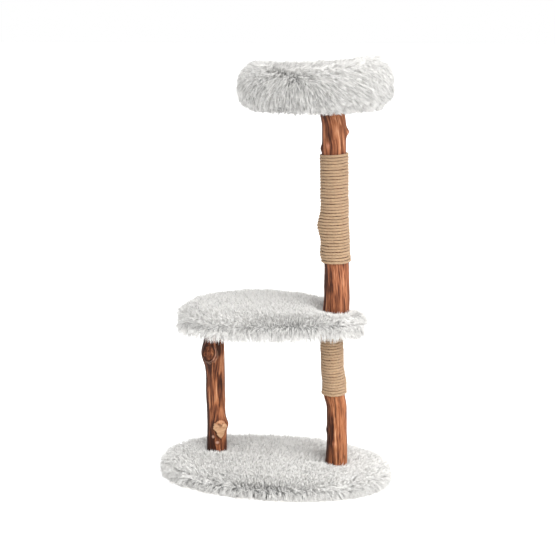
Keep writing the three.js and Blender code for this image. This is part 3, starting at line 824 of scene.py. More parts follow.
def foam_material():
    m = Mat("open_cell_foam", rough=0.95)
    vec = m.coords()
    v = m.n("ShaderNodeTexVoronoi")
    v.inputs["Scale"].default_value = 900
    m.link(vec, v.inputs["Vector"])
    n1 = m.noise(vec, 40, 3)
    c = m.ramp(v.outputs["Distance"], [(0.0, (0.55, 0.49, 0.30)), (0.4, (0.80, 0.74, 0.52)), (1.0, (0.90, 0.85, 0.64))])
    m.colour(m.mix(0.3, c, m.ramp(n1, [(0.3, (0.72, 0.64, 0.40)), (0.7, (0.92, 0.87, 0.68))])))
    m.bump(v.outputs["Distance"], 0.5, 0.0006)
    return m.m


def steel_material():
    m = Mat("zinc_plate", rough=0.35, Metallic=1.0)
    vec = m.coords()
    n1 = m.noise(vec, 90, 5, 0.6, 1.0)
    n2 = m.noise(m.coords((1, 1, 14)), 380, 3)
    m.colour(m.ramp(n1, [(0.3, (0.42, 0.43, 0.45)), (0.55, (0.58, 0.59, 0.61)), (0.75, (0.70, 0.69, 0.64))]))
    m.roughness(n1, 0.24, 0.48)
    m.bump(n2, 0.25, 0.0002)
    return m.m


BOARD, FOAM, STEEL = board_material(), foam_material(), steel_material()


def floor_material():
    m = Mat("pale_floor", rough=0.9, Specular_IOR_Level=0.1, Emission_Color=(1, 1, 1, 1), Emission_Strength=0.2)
    n1 = m.noise(m.coords(), 3, 2)
    m.colour(m.ramp(n1, [(0.3, grey(0.93)), (0.7, grey(0.95))]))
    return m.m


# floor
t = np.linspace(-60, 60, 13)
gx, gy = np.meshgrid(t, t)
floor = mesh_object("floor", np.stack([gx.ravel(), gy.ravel(), np.zeros(gx.size)], -1), grid_faces(13, 13, wrap=False), floor_material())

# --------------------------------------------------------------------------
# logs
# --------------------------------------------------------------------------
def log_mesh(name, key, node, marks, zones, calm, base_tone, contrast, pinkish, seed, lean=0.0, cols=192, step=1.8):
    """A log's bark and fibres. zones lists (angle, height, half width, half
    height, how much lighter, edge sharpness)."""
    log = LOGS[key]
    z0, z1 = log["z"]
    rows = int((z1 - z0) / step)
    z = np.linspace(z0, z1, rows)
    a = np.arange(cols) / cols * 2 * np.pi
    A, Z = np.meshgrid(a, z)
    A, Z = A.ravel(), Z.ravel()
    R = log_radius(log, A, Z)
    # grain runs round the knots
    ga, gz = A + lean * (Z - z0) / 26.0, Z.copy()
    for k in marks:
        d = wrap_angle(A - math.radians(k["a"])) * 26
        w = k["w"] * 1.7
        f = np.exp(-((d / w) ** 2 + ((Z - k["z"]) / (k["h"] * 1.9)) ** 2))
        ga = ga - (d / 26) * f * (0.75 if k["kind"] in ("cut", "scar") else 0.35)
    grain = np.stack([26 * np.cos(ga), 26 * np.sin(ga), gz + seed * 640], -1)
    st = grain * np.array([1, 1, 0.07])
    # light and dark bundles of fibres
    s1 = vnoise(grain * np.array([1, 1, 0.045]), 2.8, seed + 40)
    s2 = vnoise(grain * np.array([1, 1, 0.060]), 7.0, seed + 41)
    s3 = vnoise(grain * np.array([1, 1, 0.070]), 1.6, seed + 42)
    slow = vnoise(grain * np.array([1, 1, 0.30]), 21, seed + 43)
    rough = np.full(len(A), contrast)
    for za, zz, zw, zh, amount in calm:
        rough *= 1 - amount * np.exp(-((wrap_angle(A - math.radians(za)) * R / zw) ** 2 + ((Z - zz) / zh) ** 2))
    tone = base_tone + rough * (0.150 * s1 + 0.085 * s2 + 0.140 * s3) + 0.060 * slow
    # strips where the dark inner bark is left, with hard edges
    strip = fbm(grain * np.array([1, 1, 0.10]), 7.5, seed + 12, 3)
    tone = tone - 0.20 * rough * smoothstep(strip, 0.16, 0.26)
    light = fbm(grain * np.array([1, 1, 0.085]), 5.0, seed + 51, 2)
    tone = tone + 0.15 * rough * smoothstep(light, 0.26, 0.40)
    # some zones are painted shade: dark bands down the logs' left sides, a dark band at the upper log's top under the
    # bed, and a dark patch on the lower log's right that tones down the key light's highlight
    for za, zz, zw, zh, dt, hard in zones:
        d = wrap_angle(A - math.radians(za)) * R
        q = np.hypot(d / zw, (Z - zz) / zh)
        q = q * (1 + 0.22 * vnoise(np.stack([d, Z * 0.35, d * 0], -1), 5.0, seed + int(zz)))
        tone = tone + dt * (1 - smoothstep(q, 1 - 0.55 * (1 - hard), 1 + 1.1 * (1 - hard) + 0.08))
    # slow waves, grooves between fibre bundles, narrow checks
    disp = 0.8 * fbm(st, 15, seed, 2) + 0.40 * fbm(st, 4.2, seed + 3, 3) + 0.42 * s1 + 0.30 * s2
    crack = np.abs(vnoise(st * np.array([1, 1, 0.6]), 7.0, seed + 7))
    where = smoothstep(vnoise(grain * np.array([1, 1, 0.35]), 22, seed + 8), 0.05, 0.4)
    disp -= 1.1 * (1 - smoothstep(crack, 0.0, 0.10)) * where
    pale = np.zeros(len(A))
    pink = np.full(len(A), float(pinkish)) * (0.7 + 0.3 * slow)
    ring = 0.60 * (1 - smoothstep(crack, 0.0, 0.06)) * where
    for k in marks:
        d = wrap_angle(A - math.radians(k["a"])) * R
        u, v = d / k["w"], (Z - k["z"]) / k["h"]
        q = np.hypot(u, v)
        spot = np.stack([d, Z, d * 0], -1)
        wob = q * (1 + 0.10 * vnoise(spot, 7, seed + k["z"]))
        if k["kind"] == "cut":          # sawn branch: raised collar, mottled heart
            collar = np.exp(-((wob - 1.0) / 0.22) ** 2)
            inner = 1 - smoothstep(wob, 0.78, 0.98)
            disp = disp * (1 - inner) + collar * k["up"] - inner * k["up"] * 0.45
            rim = smoothstep(u * 0.8 - v * 0.6, -0.1, 0.7) if k.get("rim") else 1.0
            heart = k["heart"] + 0.13 * vnoise(spot, 4.5, seed + 61) + 0.13 * vnoise(spot, 2.0, seed + 62)
            tone = tone * (1 - inner) + heart * inner
            ring = ring * (1 - inner)
            ring = np.maximum(ring, 0.92 * np.exp(-((wob - 0.93) / 0.10) ** 2))
            pink = np.maximum(pink, 0.9 * np.exp(-((wob - 1.15) / 0.2) ** 2))
            ring = np.maximum(ring, 0.38 * np.exp(-((wob - 0.42) / 0.10) ** 2) * smoothstep(vnoise(spot, 6, seed + 63), -0.4, 0.3))
            pale = np.maximum(pale, 0.62 * np.exp(-((wob - 1.09) / 0.055) ** 2) * rim)
            ring = np.maximum(ring, 0.55 * np.exp(-((wob - 1.22) / 0.07) ** 2) * rim)
            pale = np.maximum(pale, 0.35 * np.exp(-((wob - 1.34) / 0.06) ** 2) * rim)
        elif k["kind"] == "scar":       # trimmed branch, wide at the top with a pointed foot
            hw = np.where(v < 0.1, np.clip((v + 1) / 1.1, 0, 1) ** 0.8, np.sqrt(np.clip(1 - ((v - 0.1) / 0.9) ** 2, 0, 1)))
            hw = hw * (1 - 0.22 * np.exp(-(u / 0.35) ** 2) * smoothstep(v, 0.4, 0.9))
            hq = np.where(np.abs(v) < 1, np.abs(u) / np.maximum(hw, 0.05), 3.0) * (1 + 0.26 * vnoise(spot, 8, seed + 71) + 0.10 * vnoise(spot, 3, seed + 74))
            inner = 1 - smoothstep(hq, 0.86, 1.02)
            near = np.hypot(u / 1.5, v / 1.3)
            disp = disp * (1 - 0.75 * inner) + k["up"] * np.exp(-near ** 2) + 0.5 * inner
            pale = np.maximum(pale, inner * (0.92 - 0.62 * smoothstep(v + 0.30 * vnoise(spot, 5, seed + 72), 0.25, 0.75)))
            tone = tone * (1 - 0.8 * inner) + 0.8 * inner * 0.62
            edge = np.exp(-((hq - 1.10) / 0.12) ** 2) * smoothstep(-u - 0.7 * v, -0.8, 0.3)
            ring = np.maximum(ring * (1 - inner), 0.80 * edge)
            dots = smoothstep(vnoise(spot, 4.0, seed + 73), 0.30, 0.5) * np.exp(-((v - 0.62) / 0.30) ** 2) * np.exp(-(u / 0.9) ** 2)
            ring = np.maximum(ring, 0.75 * dots)
        elif k["kind"] == "spot":       # small pale healed twig
            disp += k["up"] * np.exp(-(wob / 0.9) ** 2)
            pale = np.maximum(pale, 0.80 * np.exp(-(wob / 0.75) ** 4))
            pink = np.maximum(pink, 1.0 * np.exp(-(wob / 0.9) ** 4))
            ring = np.maximum(ring, 0.55 * np.exp(-((wob - 1.25) / 0.2) ** 2))
        elif k["kind"] == "line":       # a long open check
            wig = d + 1.3 * vnoise(np.stack([Z * 0, Z, Z * 0], -1), 26, seed + 81)
            f = np.exp(-(wig / k["w"]) ** 2) * (1 - smoothstep(np.abs(v), 0.75, 1.0))
            ring = np.maximum(ring, k["dark"] * f)
            disp -= k["up"] * f
        else:                           # lump of healed wood
            f = np.exp(-q ** 2)
            disp += k["up"] * f
            tone = tone + k.get("dt", 0.0) * f
            pink = np.maximum(pink, k.get("pink", 0.0) * f)
    tone = np.clip(tone, 0.0, 1.0)
    # the sawn ends stay true to the joint faces
    ends = smoothstep(Z, z0, z0 + 3) * (1 - smoothstep(Z, z1 - 3, z1))
    rr = R + disp * ends - 0.25
    rr = rr - 0.8 * (1 - smoothstep(Z, z0, z0 + 2.0)) - 0.8 * smoothstep(Z, z1 - 2.0, z1)
    X = table(log["x"], Z) + rr * np.cos(A)
    Y = table(log["y"], Z) + rr * np.sin(A)
    V = np.stack([X, Y, Z], -1)
    F = grid_faces(rows, cols)
    u = (F % cols) / cols
    u[u[:, 1] == 0, 1] = 1.0
    u[(F[:, 2] % cols) == 0, 2] = 1.0
    v = (F // cols) / (rows - 1)
    uv = np.stack([0.01 + 0.98 * u, 0.05 + 0.90 * v], -1)
    # sawn end faces as rings down to a centre point
    caps_v, caps_f, caps_uv = [], [], []
    base = len(V)
    extra = []
    for end, row, zc in ((0, 0, z0), (1, rows - 1, z1)):
        prev = np.arange(cols) + row * cols
        c = V[prev].mean(0)
        for s in (0.8, 0.6, 0.4, 0.2, 0.04):
            new = c + (V[row * cols + np.arange(cols)] - c) * s
            new[:, 2] = zc
            ids = base + np.arange(cols)
            extra.append(new)
            nxt = np.roll(np.arange(cols), -1)
            q = np.stack([prev, prev[nxt], ids[nxt], ids], -1)
            caps_f.append(q[:, ::-1] if end == 0 else q)
            w = np.stack([prev, prev[nxt], ids[nxt], ids], -1)
            prev = ids
            base += cols
        # the middle closes on itself as a small fan of quads
        half = cols // 2
        i = np.arange(half - 1)
        q = np.stack([prev[i], prev[i + 1], prev[(cols - 2 - i) % cols], prev[(cols - 1 - i) % cols]], -1)
        caps_f.append(q[:, ::-1] if end == 0 else q)
    cf = np.concatenate(caps_f)
    Vall = np.concatenate([V] + extra)
    ends_uv = np.stack([0.5 + 0.4 * (Vall[cf][..., 0] - Vall[:, 0].mean()) / 40, np.where(Vall[cf][..., 2] < (z0 + z1) / 2, 0.025, 0.975) + 0.02 * (Vall[cf][..., 1] - Vall[:, 1].mean()) / 40], -1)
    n_extra = len(Vall) - len(V)
    pad = np.zeros(n_extra)
    gr = np.concatenate([grain, Vall[len(V):] * np.array([1, 1, 0]) + np.array([0, 0, 1]) * np.hypot(Vall[len(V):, 0] - Vall[:, 0].mean(), Vall[len(V):, 1] - Vall[:, 1].mean())[:, None] * 3])
    o = mesh_object(
        name, Vall * MM, np.concatenate([F, cf]), WOOD,
        uv=np.concatenate([uv.reshape(-1, 2), ends_uv.reshape(-1, 2)]),
        attrs={"grain": gr * MM, "tone": np.r_[tone, pad + 0.62], "pink": np.r_[np.clip(pink, 0, 1), pad], "pale": np.r_[pale, pad + 0.5], "ring": np.r_[np.clip(ring, 0, 1), pad]},
    )
    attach(o, "root")
    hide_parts(node)
    return o


short_marks = [
    dict(a=255, z=314, w=15.5, h=21.5, kind="cut", up=3.4, heart=0.285, rim=True),
    dict(a=306, z=103, w=17.5, h=25, kind="scar", up=2.2),
    dict(a=262, z=82, w=4.6, h=5.6, kind="spot", up=1.2),
    dict(a=286, z=67, w=5.8, h=5.2, kind="spot", up=1.2),
    dict(a=272, z=286, w=1.1, h=13, kind="line", up=0.8, dark=0.75),
    dict(a=222, z=200, w=1.2, h=120, kind="line", up=0.9, dark=0.6),
    dict(a=256, z=205, w=0.9, h=60, kind="line", up=0.6, dark=0.55),
    dict(a=100, z=190, w=9, h=12, kind="cut", up=1.6, heart=0.45),
]
# the first two zones, darker down the left side, are partly bark left on and partly painted shade
short_zones = [
    (203, 180, 10, 150, -0.27, 0.55), (203, 60, 14, 55, -0.16, 0.4), (308, 220, 6.5, 34, -0.30, 0.75), (306, 330, 5, 24, -0.24, 0.6),
    (325, 190, 16, 120, 0.15, 0.35), (318, 335, 12, 30, -0.12, 0.5), (286, 175, 8, 55, 0.10, 0.4), (330, 300, 10, 40, 0.12, 0.4), (256, 52, 17, 40, -0.24, 0.55),
    (330, 45, 9, 22, -0.10, 0.5), (268, 275, 10, 16, -0.14, 0.5), (250, 240, 4, 50, 0.12, 0.5), (228, 235, 3, 60, 0.16, 0.5), (240, 150, 3, 45, 0.10, 0.5), (250, 205, 12, 80, -0.07, 0.3), (316, 143, 6, 16, 0.18, 0.4),
]
lower_marks = [
    dict(a=272, z=196, w=1.4, h=32, kind="line", up=1.0, dark=0.9),
    dict(a=235, z=150, w=1.2, h=70, kind="line", up=0.8, dark=0.7),
    dict(a=252, z=112, w=1.0, h=45, kind="line", up=0.6, dark=0.6),
    dict(a=257, z=98, w=6, h=8, kind="lump", up=2.2, dt=0.24, pink=0.5),
    dict(a=198, z=128, w=8, h=9, kind="lump", up=2.6, dt=-0.1),
    dict(a=80, z=120, w=8, h=11, kind="cut", up=1.4, heart=0.45),
]
# the first zone, darker down the left side, is partly bark left on and partly painted shade; the zone at 350 degrees is
# painted shade that tones down the key light's highlight on the right
lower_zones = [
    (208, 130, 9, 95, -0.26, 0.6), (250, 136, 7, 42, -0.20, 0.6), (318, 120, 22, 100, 0.06, 0.3), (350, 196, 13, 34, -0.13, 0.4), (255, 200, 7, 22, 0.07, 0.4),
    (228, 60, 14, 30, -0.14, 0.5), (262, 60, 3, 35, -0.12, 0.6), (282, 70, 2.5, 40, -0.10, 0.6), (272, 66, 3.4, 44, -0.10, 0.5),
]
upper_marks = [
    dict(a=8, z=889, w=7, h=7.5, kind="lump", up=2.6, dt=0.12, pink=0.9),
    dict(a=350, z=884, w=5, h=6.5, kind="lump", up=1.2, dt=0.20, pink=0.6),
    dict(a=14, z=897, w=4.5, h=3.0, kind="spot", up=0.4),
    dict(a=200, z=848, w=9, h=9, kind="lump", up=4.2, dt=-0.05, pink=0.6),
    dict(a=250, z=858, w=6, h=8, kind="lump", up=1.6, dt=0.16, pink=0.8),
    dict(a=312, z=880, w=0.9, h=30, kind="line", up=0.5, dark=0.6),
    dict(a=250, z=905, w=0.9, h=28, kind="line", up=0.5, dark=0.5),
    dict(a=262, z=930, w=1.0, h=16, kind="line", up=0.5, dark=0.6),
    dict(a=243, z=500, w=1.0, h=48, kind="line", up=0.7, dark=0.55),
    dict(a=300, z=520, w=1.0, h=40, kind="line", up=0.6, dark=0.5),
    dict(a=150, z=500, w=8, h=12, kind="cut", up=1.6, heart=0.5),
]
# the first zone, darker down the left side, is partly bark left on and partly painted shade; the second, a dark band at
# the top just under the bed, is partly bark and partly painted shade from the bed
upper_zones = [
    (205, 700, 8, 260, -0.22, 0.5), (235, 936, 22, 13, -0.20, 0.4), (290, 905, 9, 24, 0.19, 0.4), (322, 868, 10, 20, 0.14, 0.5),
    (235, 530, 10, 26, -0.14, 0.5), (265, 500, 3, 45, 0.14, 0.6), (278, 535, 2.5, 30, 0.16, 0.6), (308, 525, 3, 30, 0.07, 0.6), (280, 500, 42, 70, -0.03, 0.2),
    (330, 500, 12, 60, 0.04, 0.3), (292, 480, 2.5, 35, 0.12, 0.6), (226, 480, 3, 40, 0.14, 0.6),
]
log_mesh("short_log", "short", "short_post", short_marks, short_zones, [(325, 190, 15, 110, 0.55)], 0.238, 1.15, 0.10, 3)
log_mesh("lower_log", "lower", "lower_post", lower_marks, lower_zones, [(330, 130, 24, 130, 0.75)], 0.415, 1.0, 0.0, 5)
log_mesh("upper_log", "upper", "upper_post", upper_marks, upper_zones, [(340, 500, 20, 80, 0.5), (285, 500, 24, 75, 0.45)], 0.352, 0.85, 0.32, 8, lean=0.06)


# --------------------------------------------------------------------------
# sisal rope, laid up from three strands and wound turn on turn
# --------------------------------------------------------------------------
ROPE_D, LAY, WIDE = 6.4, 25.0, 1.14


def rope_mesh(name, key, node, z0, z1, pitch, seed, start=4.0):
    log = LOGS[key]
    rng = np.random.default_rng(seed)
    turns = (z1 - z0 - pitch) / pitch
    n_dense = int(turns * 110)
    phi = np.linspace(0, turns * 2 * np.pi, n_dense)
    zz = z0 + pitch / 2 + pitch * phi / (2 * np.pi)
    zz = zz + 0.6 * vnoise(np.stack([phi * 1.3, phi * 0, phi * 0], -1), 1.0, seed)
    ang = phi + start
    rad = log_radius(log, ang, zz) + ROPE_D / 2 - 0.25
    # the two ends dive under the neighbouring turn
    end = np.minimum(phi, phi[-1] - phi)
    rad = rad - 2.6 * (1 - smoothstep(end, 0.0, 0.30))
    rad = rad + 0.45 * vnoise(np.stack([phi * 2.1, phi * 0 + 5, phi * 0], -1), 1.0, seed + 1)
    C = np.stack([table(log["x"], zz) + rad * np.cos(ang), table(log["y"], zz) + rad * np.sin(ang), zz], -1)
    s = np.r_[0, np.cumsum(np.linalg.norm(np.diff(C, axis=0), axis=1))]
    n = int(s[-1] / 2.5)
    u = np.linspace(0, s[-1], n)
    C = np.stack([np.interp(u, s, C[:, k]) for k in range(3)], -1)
    A = np.interp(u, s, ang)
    T = unit(np.gradient(C, axis=0))
    out = np.stack([np.cos(A), np.sin(A), np.zeros(n)], -1)
    out = unit(out - (out * T).sum(1, keepdims=True) * T)
    bi = np.cross(T, out)
    SIDES, off, r = 7, 1.42, 1.80
    Vs, Fs, UVs = [], [], []
    base = 0
    for k in range(3):
        psi = u / LAY * 2 * np.pi + k * 2 * np.pi / 3
        P = C + off * (np.cos(psi)[:, None] * out + np.sin(psi)[:, None] * bi)
        t2 = unit(np.gradient(P, axis=0))
        e1 = unit(out - (out * t2).sum(1, keepdims=True) * t2)
        e2 = np.cross(t2, e1)
        rr = r * (1 + 0.05 * vnoise(np.stack([u, u * 0 + k * 9, u * 0], -1), 6, seed + 4))
        rr[0] *= 0.5
        rr[-1] *= 0.5
        # a twist the other way for the yarns inside the strand, worked out but not used
        tw = -u / 9.0
        a = np.arange(SIDES) / SIDES * 2 * np.pi
        ring = P[:, None] + rr[:, None, None] * (np.cos(a[None, :, None]) * e1[:, None] + np.sin(a[None, :, None]) * e2[:, None])
        across = ((ring - C[:, None]) * bi[:, None]).sum(-1, keepdims=True)
        ring = ring + across * (WIDE - 1) * bi[:, None]
        Vs.append(ring.reshape(-1, 3))
        F = grid_faces(n, SIDES)
        i, j = F[:, 0] // SIDES, F[:, 0] % SIDES
        per = 160.0
        u0 = (u[i] / per) % 1.0
        du = (u[np.minimum(i + 1, n - 1)] - u[i]) / per
        row = ((np.floor(u[i] / per).astype(int) * 3 + k) % 8)
        v0, v1 = (row + 0.04 + 0.92 * j / SIDES) / 8, (row + 0.04 + 0.92 * (j + 1) / SIDES) / 8
        u1 = u0 + du
        over = u1 > 1
        u0, u1 = np.where(over, u0 - du, u0), np.where(over, u1 - du, u1)
        UVs.append(np.stack([np.stack([u0, v0], -1), np.stack([u0, v1], -1), np.stack([u1, v1], -1), np.stack([u1, v0], -1)], 1))
        Fs.append(F + base)
        # close the ends with a strip of quads and a centre line
        for row_i, flip in ((0, True), (n - 1, False)):
            ids = base + row_i * SIDES + np.arange(SIDES)
            q = np.array([[ids[0], ids[1], ids[2], ids[3]], [ids[0], ids[3], ids[4], ids[5]], [ids[0], ids[5], ids[6], ids[6]]])
            q = q[:2] if SIDES == 6 else q
            Fs.append(q[:, ::-1] if flip else q)
            UVs.append(np.full((len(q), 4, 2), 0.5))
        base += n * SIDES
    V = np.concatenate(Vs)
    F = np.concatenate(Fs)
    tri = np.concatenate([F[:, [0, 1, 2]], F[:, [0, 2, 3]]])
    UV = np.concatenate(UVs)
    uvt = np.concatenate([UV[:, [0, 1, 2]], UV[:, [0, 2, 3]]])
    ok = (tri[:, 0] != tri[:, 1]) & (tri[:, 1] != tri[:, 2]) & (tri[:, 2] != tri[:, 0])
    tri, uvt = tri[ok], uvt[ok]
    o = mesh_object(name, V * MM, tri, ROPE, uv=uvt.reshape(-1, 2))
    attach(o, "root")
    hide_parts(node)
    # loose fibres that stand off the rope
    m = int(s[-1] / 1.5)
    pick = rng.integers(3, n - 3, m)
    dirs = unit(out[pick] * (0.35 + 0.5 * rng.random((m, 1))) + bi[pick] * rng.normal(size=(m, 1)) * 0.5 + T[pick] * rng.normal(size=(m, 1)) * 0.8)
    root = C[pick] + out[pick] * (ROPE_D / 2 - 0.9) + bi[pick] * (rng.random((m, 1)) - 0.5) * 3
    L = 2.0 + 3.2 * rng.random(m)
    bend = rng.normal(size=(m, 3)) * 0.7
    p1 = root + dirs * (L * 0.5)[:, None]
    p2 = p1 + unit(dirs + bend * 0.6) * (L * 0.5)[:, None]
    sidev = unit(np.cross(dirs, rng.normal(size=(m, 3))))
    upv = np.cross(sidev, dirs)
    ring = []
    for q, w in ((root, 0.16), (p1, 0.13)):
        for aa in (0, 2.094, 4.189):
            ring.append(q + sidev * w * math.cos(aa) + upv * w * math.sin(aa))
    ring.append(p2)
    HV = np.stack(ring, 1)
    tris = np.array([(0, 1, 4), (0, 4, 3), (1, 2, 5), (1, 5, 4), (2, 0, 3), (2, 3, 5), (3, 4, 6), (4, 5, 6), (5, 3, 6), (0, 2, 1)])
    HF = (tris[None] + (np.arange(m) * 7)[:, None, None]).reshape(-1, 3)
    hu = rng.random(m)
    huv = np.empty((m, len(tris), 3, 2))
    huv[..., 0] = hu[:, None, None] * 0.95 + np.array([0.0, 0.01, 0.02])[None, None, :]
    huv[..., 1] = (rng.integers(0, 8, m)[:, None, None] + 0.4 + np.array([0.0, 0.1, 0.05])[None, None, :]) / 8
    h = mesh_object(name + "_fibres", HV.reshape(-1, 3) * MM, HF, ROPE, uv=huv.reshape(-1, 2))
    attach(h, "root")
    return o, s[-1]


_, rope_upper_mm = rope_mesh("upper_rope", "upper", "upper_rope_wrap", 563, 841, 7.45, 21, start=math.radians(47))
_, rope_lower_mm = rope_mesh("lower_rope", "lower", "lower_rope_wrap", 221, 399, 7.3, 22, start=math.radians(60))
print("rope lengths, m:", round(rope_upper_mm / 1000, 2), round(rope_lower_mm / 1000, 2))

# --------------------------------------------------------------------------
# fur covers
# --------------------------------------------------------------------------
DENSITY = 0.42      # strands per square millimetre


def cover(name, node, V, F, mat=BACKING):
    """The cover's cloth: subdivided once and 1.2 mm thick."""
    o = mesh_object(name, V * MM, F, mat)
    sub = o.modifiers.new("sub", "SUBSURF")
    sub.levels = sub.render_levels = 1
    thick = o.modifiers.new("thick", "SOLIDIFY")
    thick.thickness, thick.offset = 1.2 * MM, -1.0
    me = bpy.data.meshes.new_from_object(o.evaluated_get(bpy.context.evaluated_depsgraph_get()))
    me.name = name
    o.modifiers.clear()
    o.data = me
    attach(o, "root")
    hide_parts(node)
    return o


def area_of(V, F):
    a, b, c, d = (V[F[:, k]] for k in range(4))
    return (np.linalg.norm(np.cross(c - a, d - b), axis=1) / 2).sum()


def rim_weight(p, gain):
    """More roots just inside and on the rim, where the pile spreads open."""
    c, h = np.array([p["cx"], p["cy"]]), np.array([p["a"], p["b"]])
    return lambda C: 1 + gain * np.exp(-((np.linalg.norm((C[:, :2] - c) / h, axis=1) - 0.92) / 0.06) ** 2)


def flat_comb(P, N, p, toward, pull, edge_from, z_side=1e9):
    """Strands lie towards `toward` in the middle and outwards near the edge."""
    c = np.array([p["cx"], p["cy"]])
    q = (P[:, :2] - c) / np.array([p["a"], p["b"]])
    r = np.linalg.norm(q, axis=1)
    rad = unit(np.c_[P[:, :2] - c, np.zeros(len(P))])
    w = smoothstep(r, edge_from, 0.9)[:, None]
    comb = unit(np.asarray(toward, float))[None] * pull * (1 - 0.65 * w) + rad * (0.25 + 1.1 * w)
    side = (smoothstep(1 - N[:, 2], 0.35, 0.9) * smoothstep(z_side - P[:, 2], -4, 4))[:, None]
    down = np.array([0, 0, -1.0])
    return comb * (1 - side) + (down + comb * 0.15) * side


def collar(log, z_root, count, rng, spread=7.0):
    """Roots of the tufts that stand up round a log's foot."""
    a = (np.arange(count) + rng.random(count)) / count * 2 * math.pi
    z = log["z"][0] + 2.0
    d = 0.6 + spread * rng.random(count) ** 1.4
    R = log_radius(log, a, np.full(count, z)) + d
    cx, cy = table(log["x"], z), table(log["y"], z)
    P = np.stack([cx + R * np.cos(a), cy + R * np.sin(a), z_root + 0.55 * d], -1)
    out = np.stack([np.cos(a), np.sin(a), np.zeros(count)], -1)
    N = unit(np.array([0, 0, 1.0]) + out * 0.12)
    comb = out * (0.35 * rng.random((count, 1)) - 0.05) + np.stack([-out[:, 1], out[:, 0], out[:, 2]], -1) * rng.normal(size=(count, 1)) * 0.6
    return P, N, comb


def fur(name, V, F, count, rng, keep, comb_of, up, length, gravity, logs=(), collars=(), floor=None, seed=1, per=12000, width=1.2, hem=lambda P, Q: Q[:, 2] < -0.25, tufts=(8.0, 0.92), lock_size=3.6, clump=0.72, weight=None, **style):
    N = vertex_normals(V, F)
    P, Q = scatter(V, F, N, count, rng, weight)
    _, deep = near_logs(P + np.array([0, 0, 2.0]), logs, 0.4) if logs else (None, np.full(len(P), -1.0))
    k = (deep < 0) & keep(P, Q, rng)
    P, Q = P[k], Q[k]
    C = comb_of(P, Q)
    U, L, G = (np.broadcast_to(np.asarray(f(P, Q) if callable(f) else f, float), (len(P),)).copy() for f in (up, length, gravity))
    cells = np.where(hem(P, Q), tufts[0], lock_size(P) if callable(lock_size) else lock_size)       # the hem hangs in larger pointed tufts
    clumps = np.where(hem(P, Q), tufts[1], clump)
    for log, z_root, cnt in collars:
        p2, n2, c2 = collar(log, z_root, cnt, rng)
        P, Q, C = np.r_[P, p2], np.r_[Q, n2], np.r_[C, c2]
        U, L, G = np.r_[U, np.full(cnt, 2.6)], np.r_[L, 19 + 7 * rng.random(cnt)], np.r_[G, np.full(cnt, 0.10)]
        cells, clumps = np.r_[cells, np.full(cnt, 5.0)], np.r_[clumps, np.full(cnt, 0.8)]
    grown = grow(P, Q, C, L, width, rng, up=U, gravity=G, cell=cells, clump=clumps, logs=logs, floor=floor, seed=seed, **style)
    print(name, "strands", len(P))
    return pile_pieces(name, grown, P, P[:, 0], per, FUR)


rng = np.random.default_rng(7)
SHORT, LOWER, UPPER = LOGS["short"], LOGS["lower"], LOGS["upper"]

# base
V, F, pin = plate_skin(BASE, 0.6, 25.5, 14.0, 6.0, feet=((SHORT, 21.6, 20), (LOWER, 21.6, 20)))
V = puff(V, F, pin, 3.0, 3.0)
V[:, 2] = np.maximum(V[:, 2], 0.6)
cover("base_cover", "base_fur_cover", V, F)
# `light` here is painted light and shade: a lift over the whole base against the shade under the platform, a further
# lift on the low hem whose strands point at the camera, and painted shade on the left front sides; it is also darker
# towards the right end
fur("base_pile", V, F, int(205000 * DENSITY), rng,
    lambda P, Q, r: ((Q[:, 2] > -0.5) | (r.random(len(P)) < 0.3)) & ((Q[:, 2] > 0.6) | (P[:, 0] > 120) | (r.random(len(P)) < 0.75)),
    lambda P, Q: flat_comb(P, Q, BASE, (0.5, -0.5, 0), 0.75, 0.45, z_side=16.0),
    lambda P, Q: 1.75 - (0.80 - 0.50 * smoothstep(np.abs(P[:, 0]) / BASE["a"], 0.55, 0.95)) * smoothstep(18.0 - P[:, 2], -7, 8), lambda P, Q: 24.0 + 5.0 * smoothstep(1 - Q[:, 2], 0.1, 0.6) + 4.0 * smoothstep(14.0 - P[:, 2], 0, 6),
    lambda P, Q: 0.06 + 0.36 * smoothstep(18.0 - P[:, 2], -7, 8),
    logs=(SHORT, LOWER), collars=((SHORT, 22.6, 520), (LOWER, 22.6, 520)), floor=1.3, seed=101,
    hem=lambda P, Q: (P[:, 2] < 9.0) | ((Q[:, 2] < 0.8) & (P[:, 0] < 60)), clump=0.66, lock=0.85, wild=0.20, light=lambda P, N: 0.22 + 0.16 * smoothstep(18.0 - P[:, 2], -4, 6) - 0.16 * smoothstep(P[:, 0], 170, 285) - 0.14 * smoothstep(-P[:, 0] - 1.4 * P[:, 1], 150, 330) * smoothstep(1 - N[:, 2], 0.0, 0.3), spread=1.0, weight=rim_weight(BASE, 0.7),
    flat=lambda P, Q: 0.30 + 0.35 * smoothstep(P[:, 0], 60, 220) + 0.6 * smoothstep(17.0 - P[:, 2], -8, 8), stand=lambda P, Q: (1 - 0.8 * smoothstep(np.abs(P[:, 0]) / BASE["a"], 0.5, 0.9)) * smoothstep(P[:, 2], 9, 24), strand=0.2)

# middle platform
V, F, pin = plate_skin(PLAT, 402.2, 436.0, 14.5, 9.0, crown=2.0, feet=((UPPER, 422.4, 30),))
V = puff(V, F, pin, 4.0, 5.0)
cover("platform_cover", "platform_fur_cover", V, F)


def platform_keep(P, Q, r):
    seam = np.exp(-((P[:, 2] - 415.0) / 1.6) ** 2) * (Q[:, 2] < 0.5)
    return ((Q[:, 2] > -0.3) | (r.random(len(P)) < 0.4)) & (r.random(len(P)) > seam * 0.5)


def platform_end(P):
    return smoothstep(np.abs(P[:, 0] - PLAT["cx"]) / PLAT["a"], 0.55, 0.88)


def platform_side(P, Q):
    return smoothstep(1 - Q[:, 2], 0.35, 0.95)
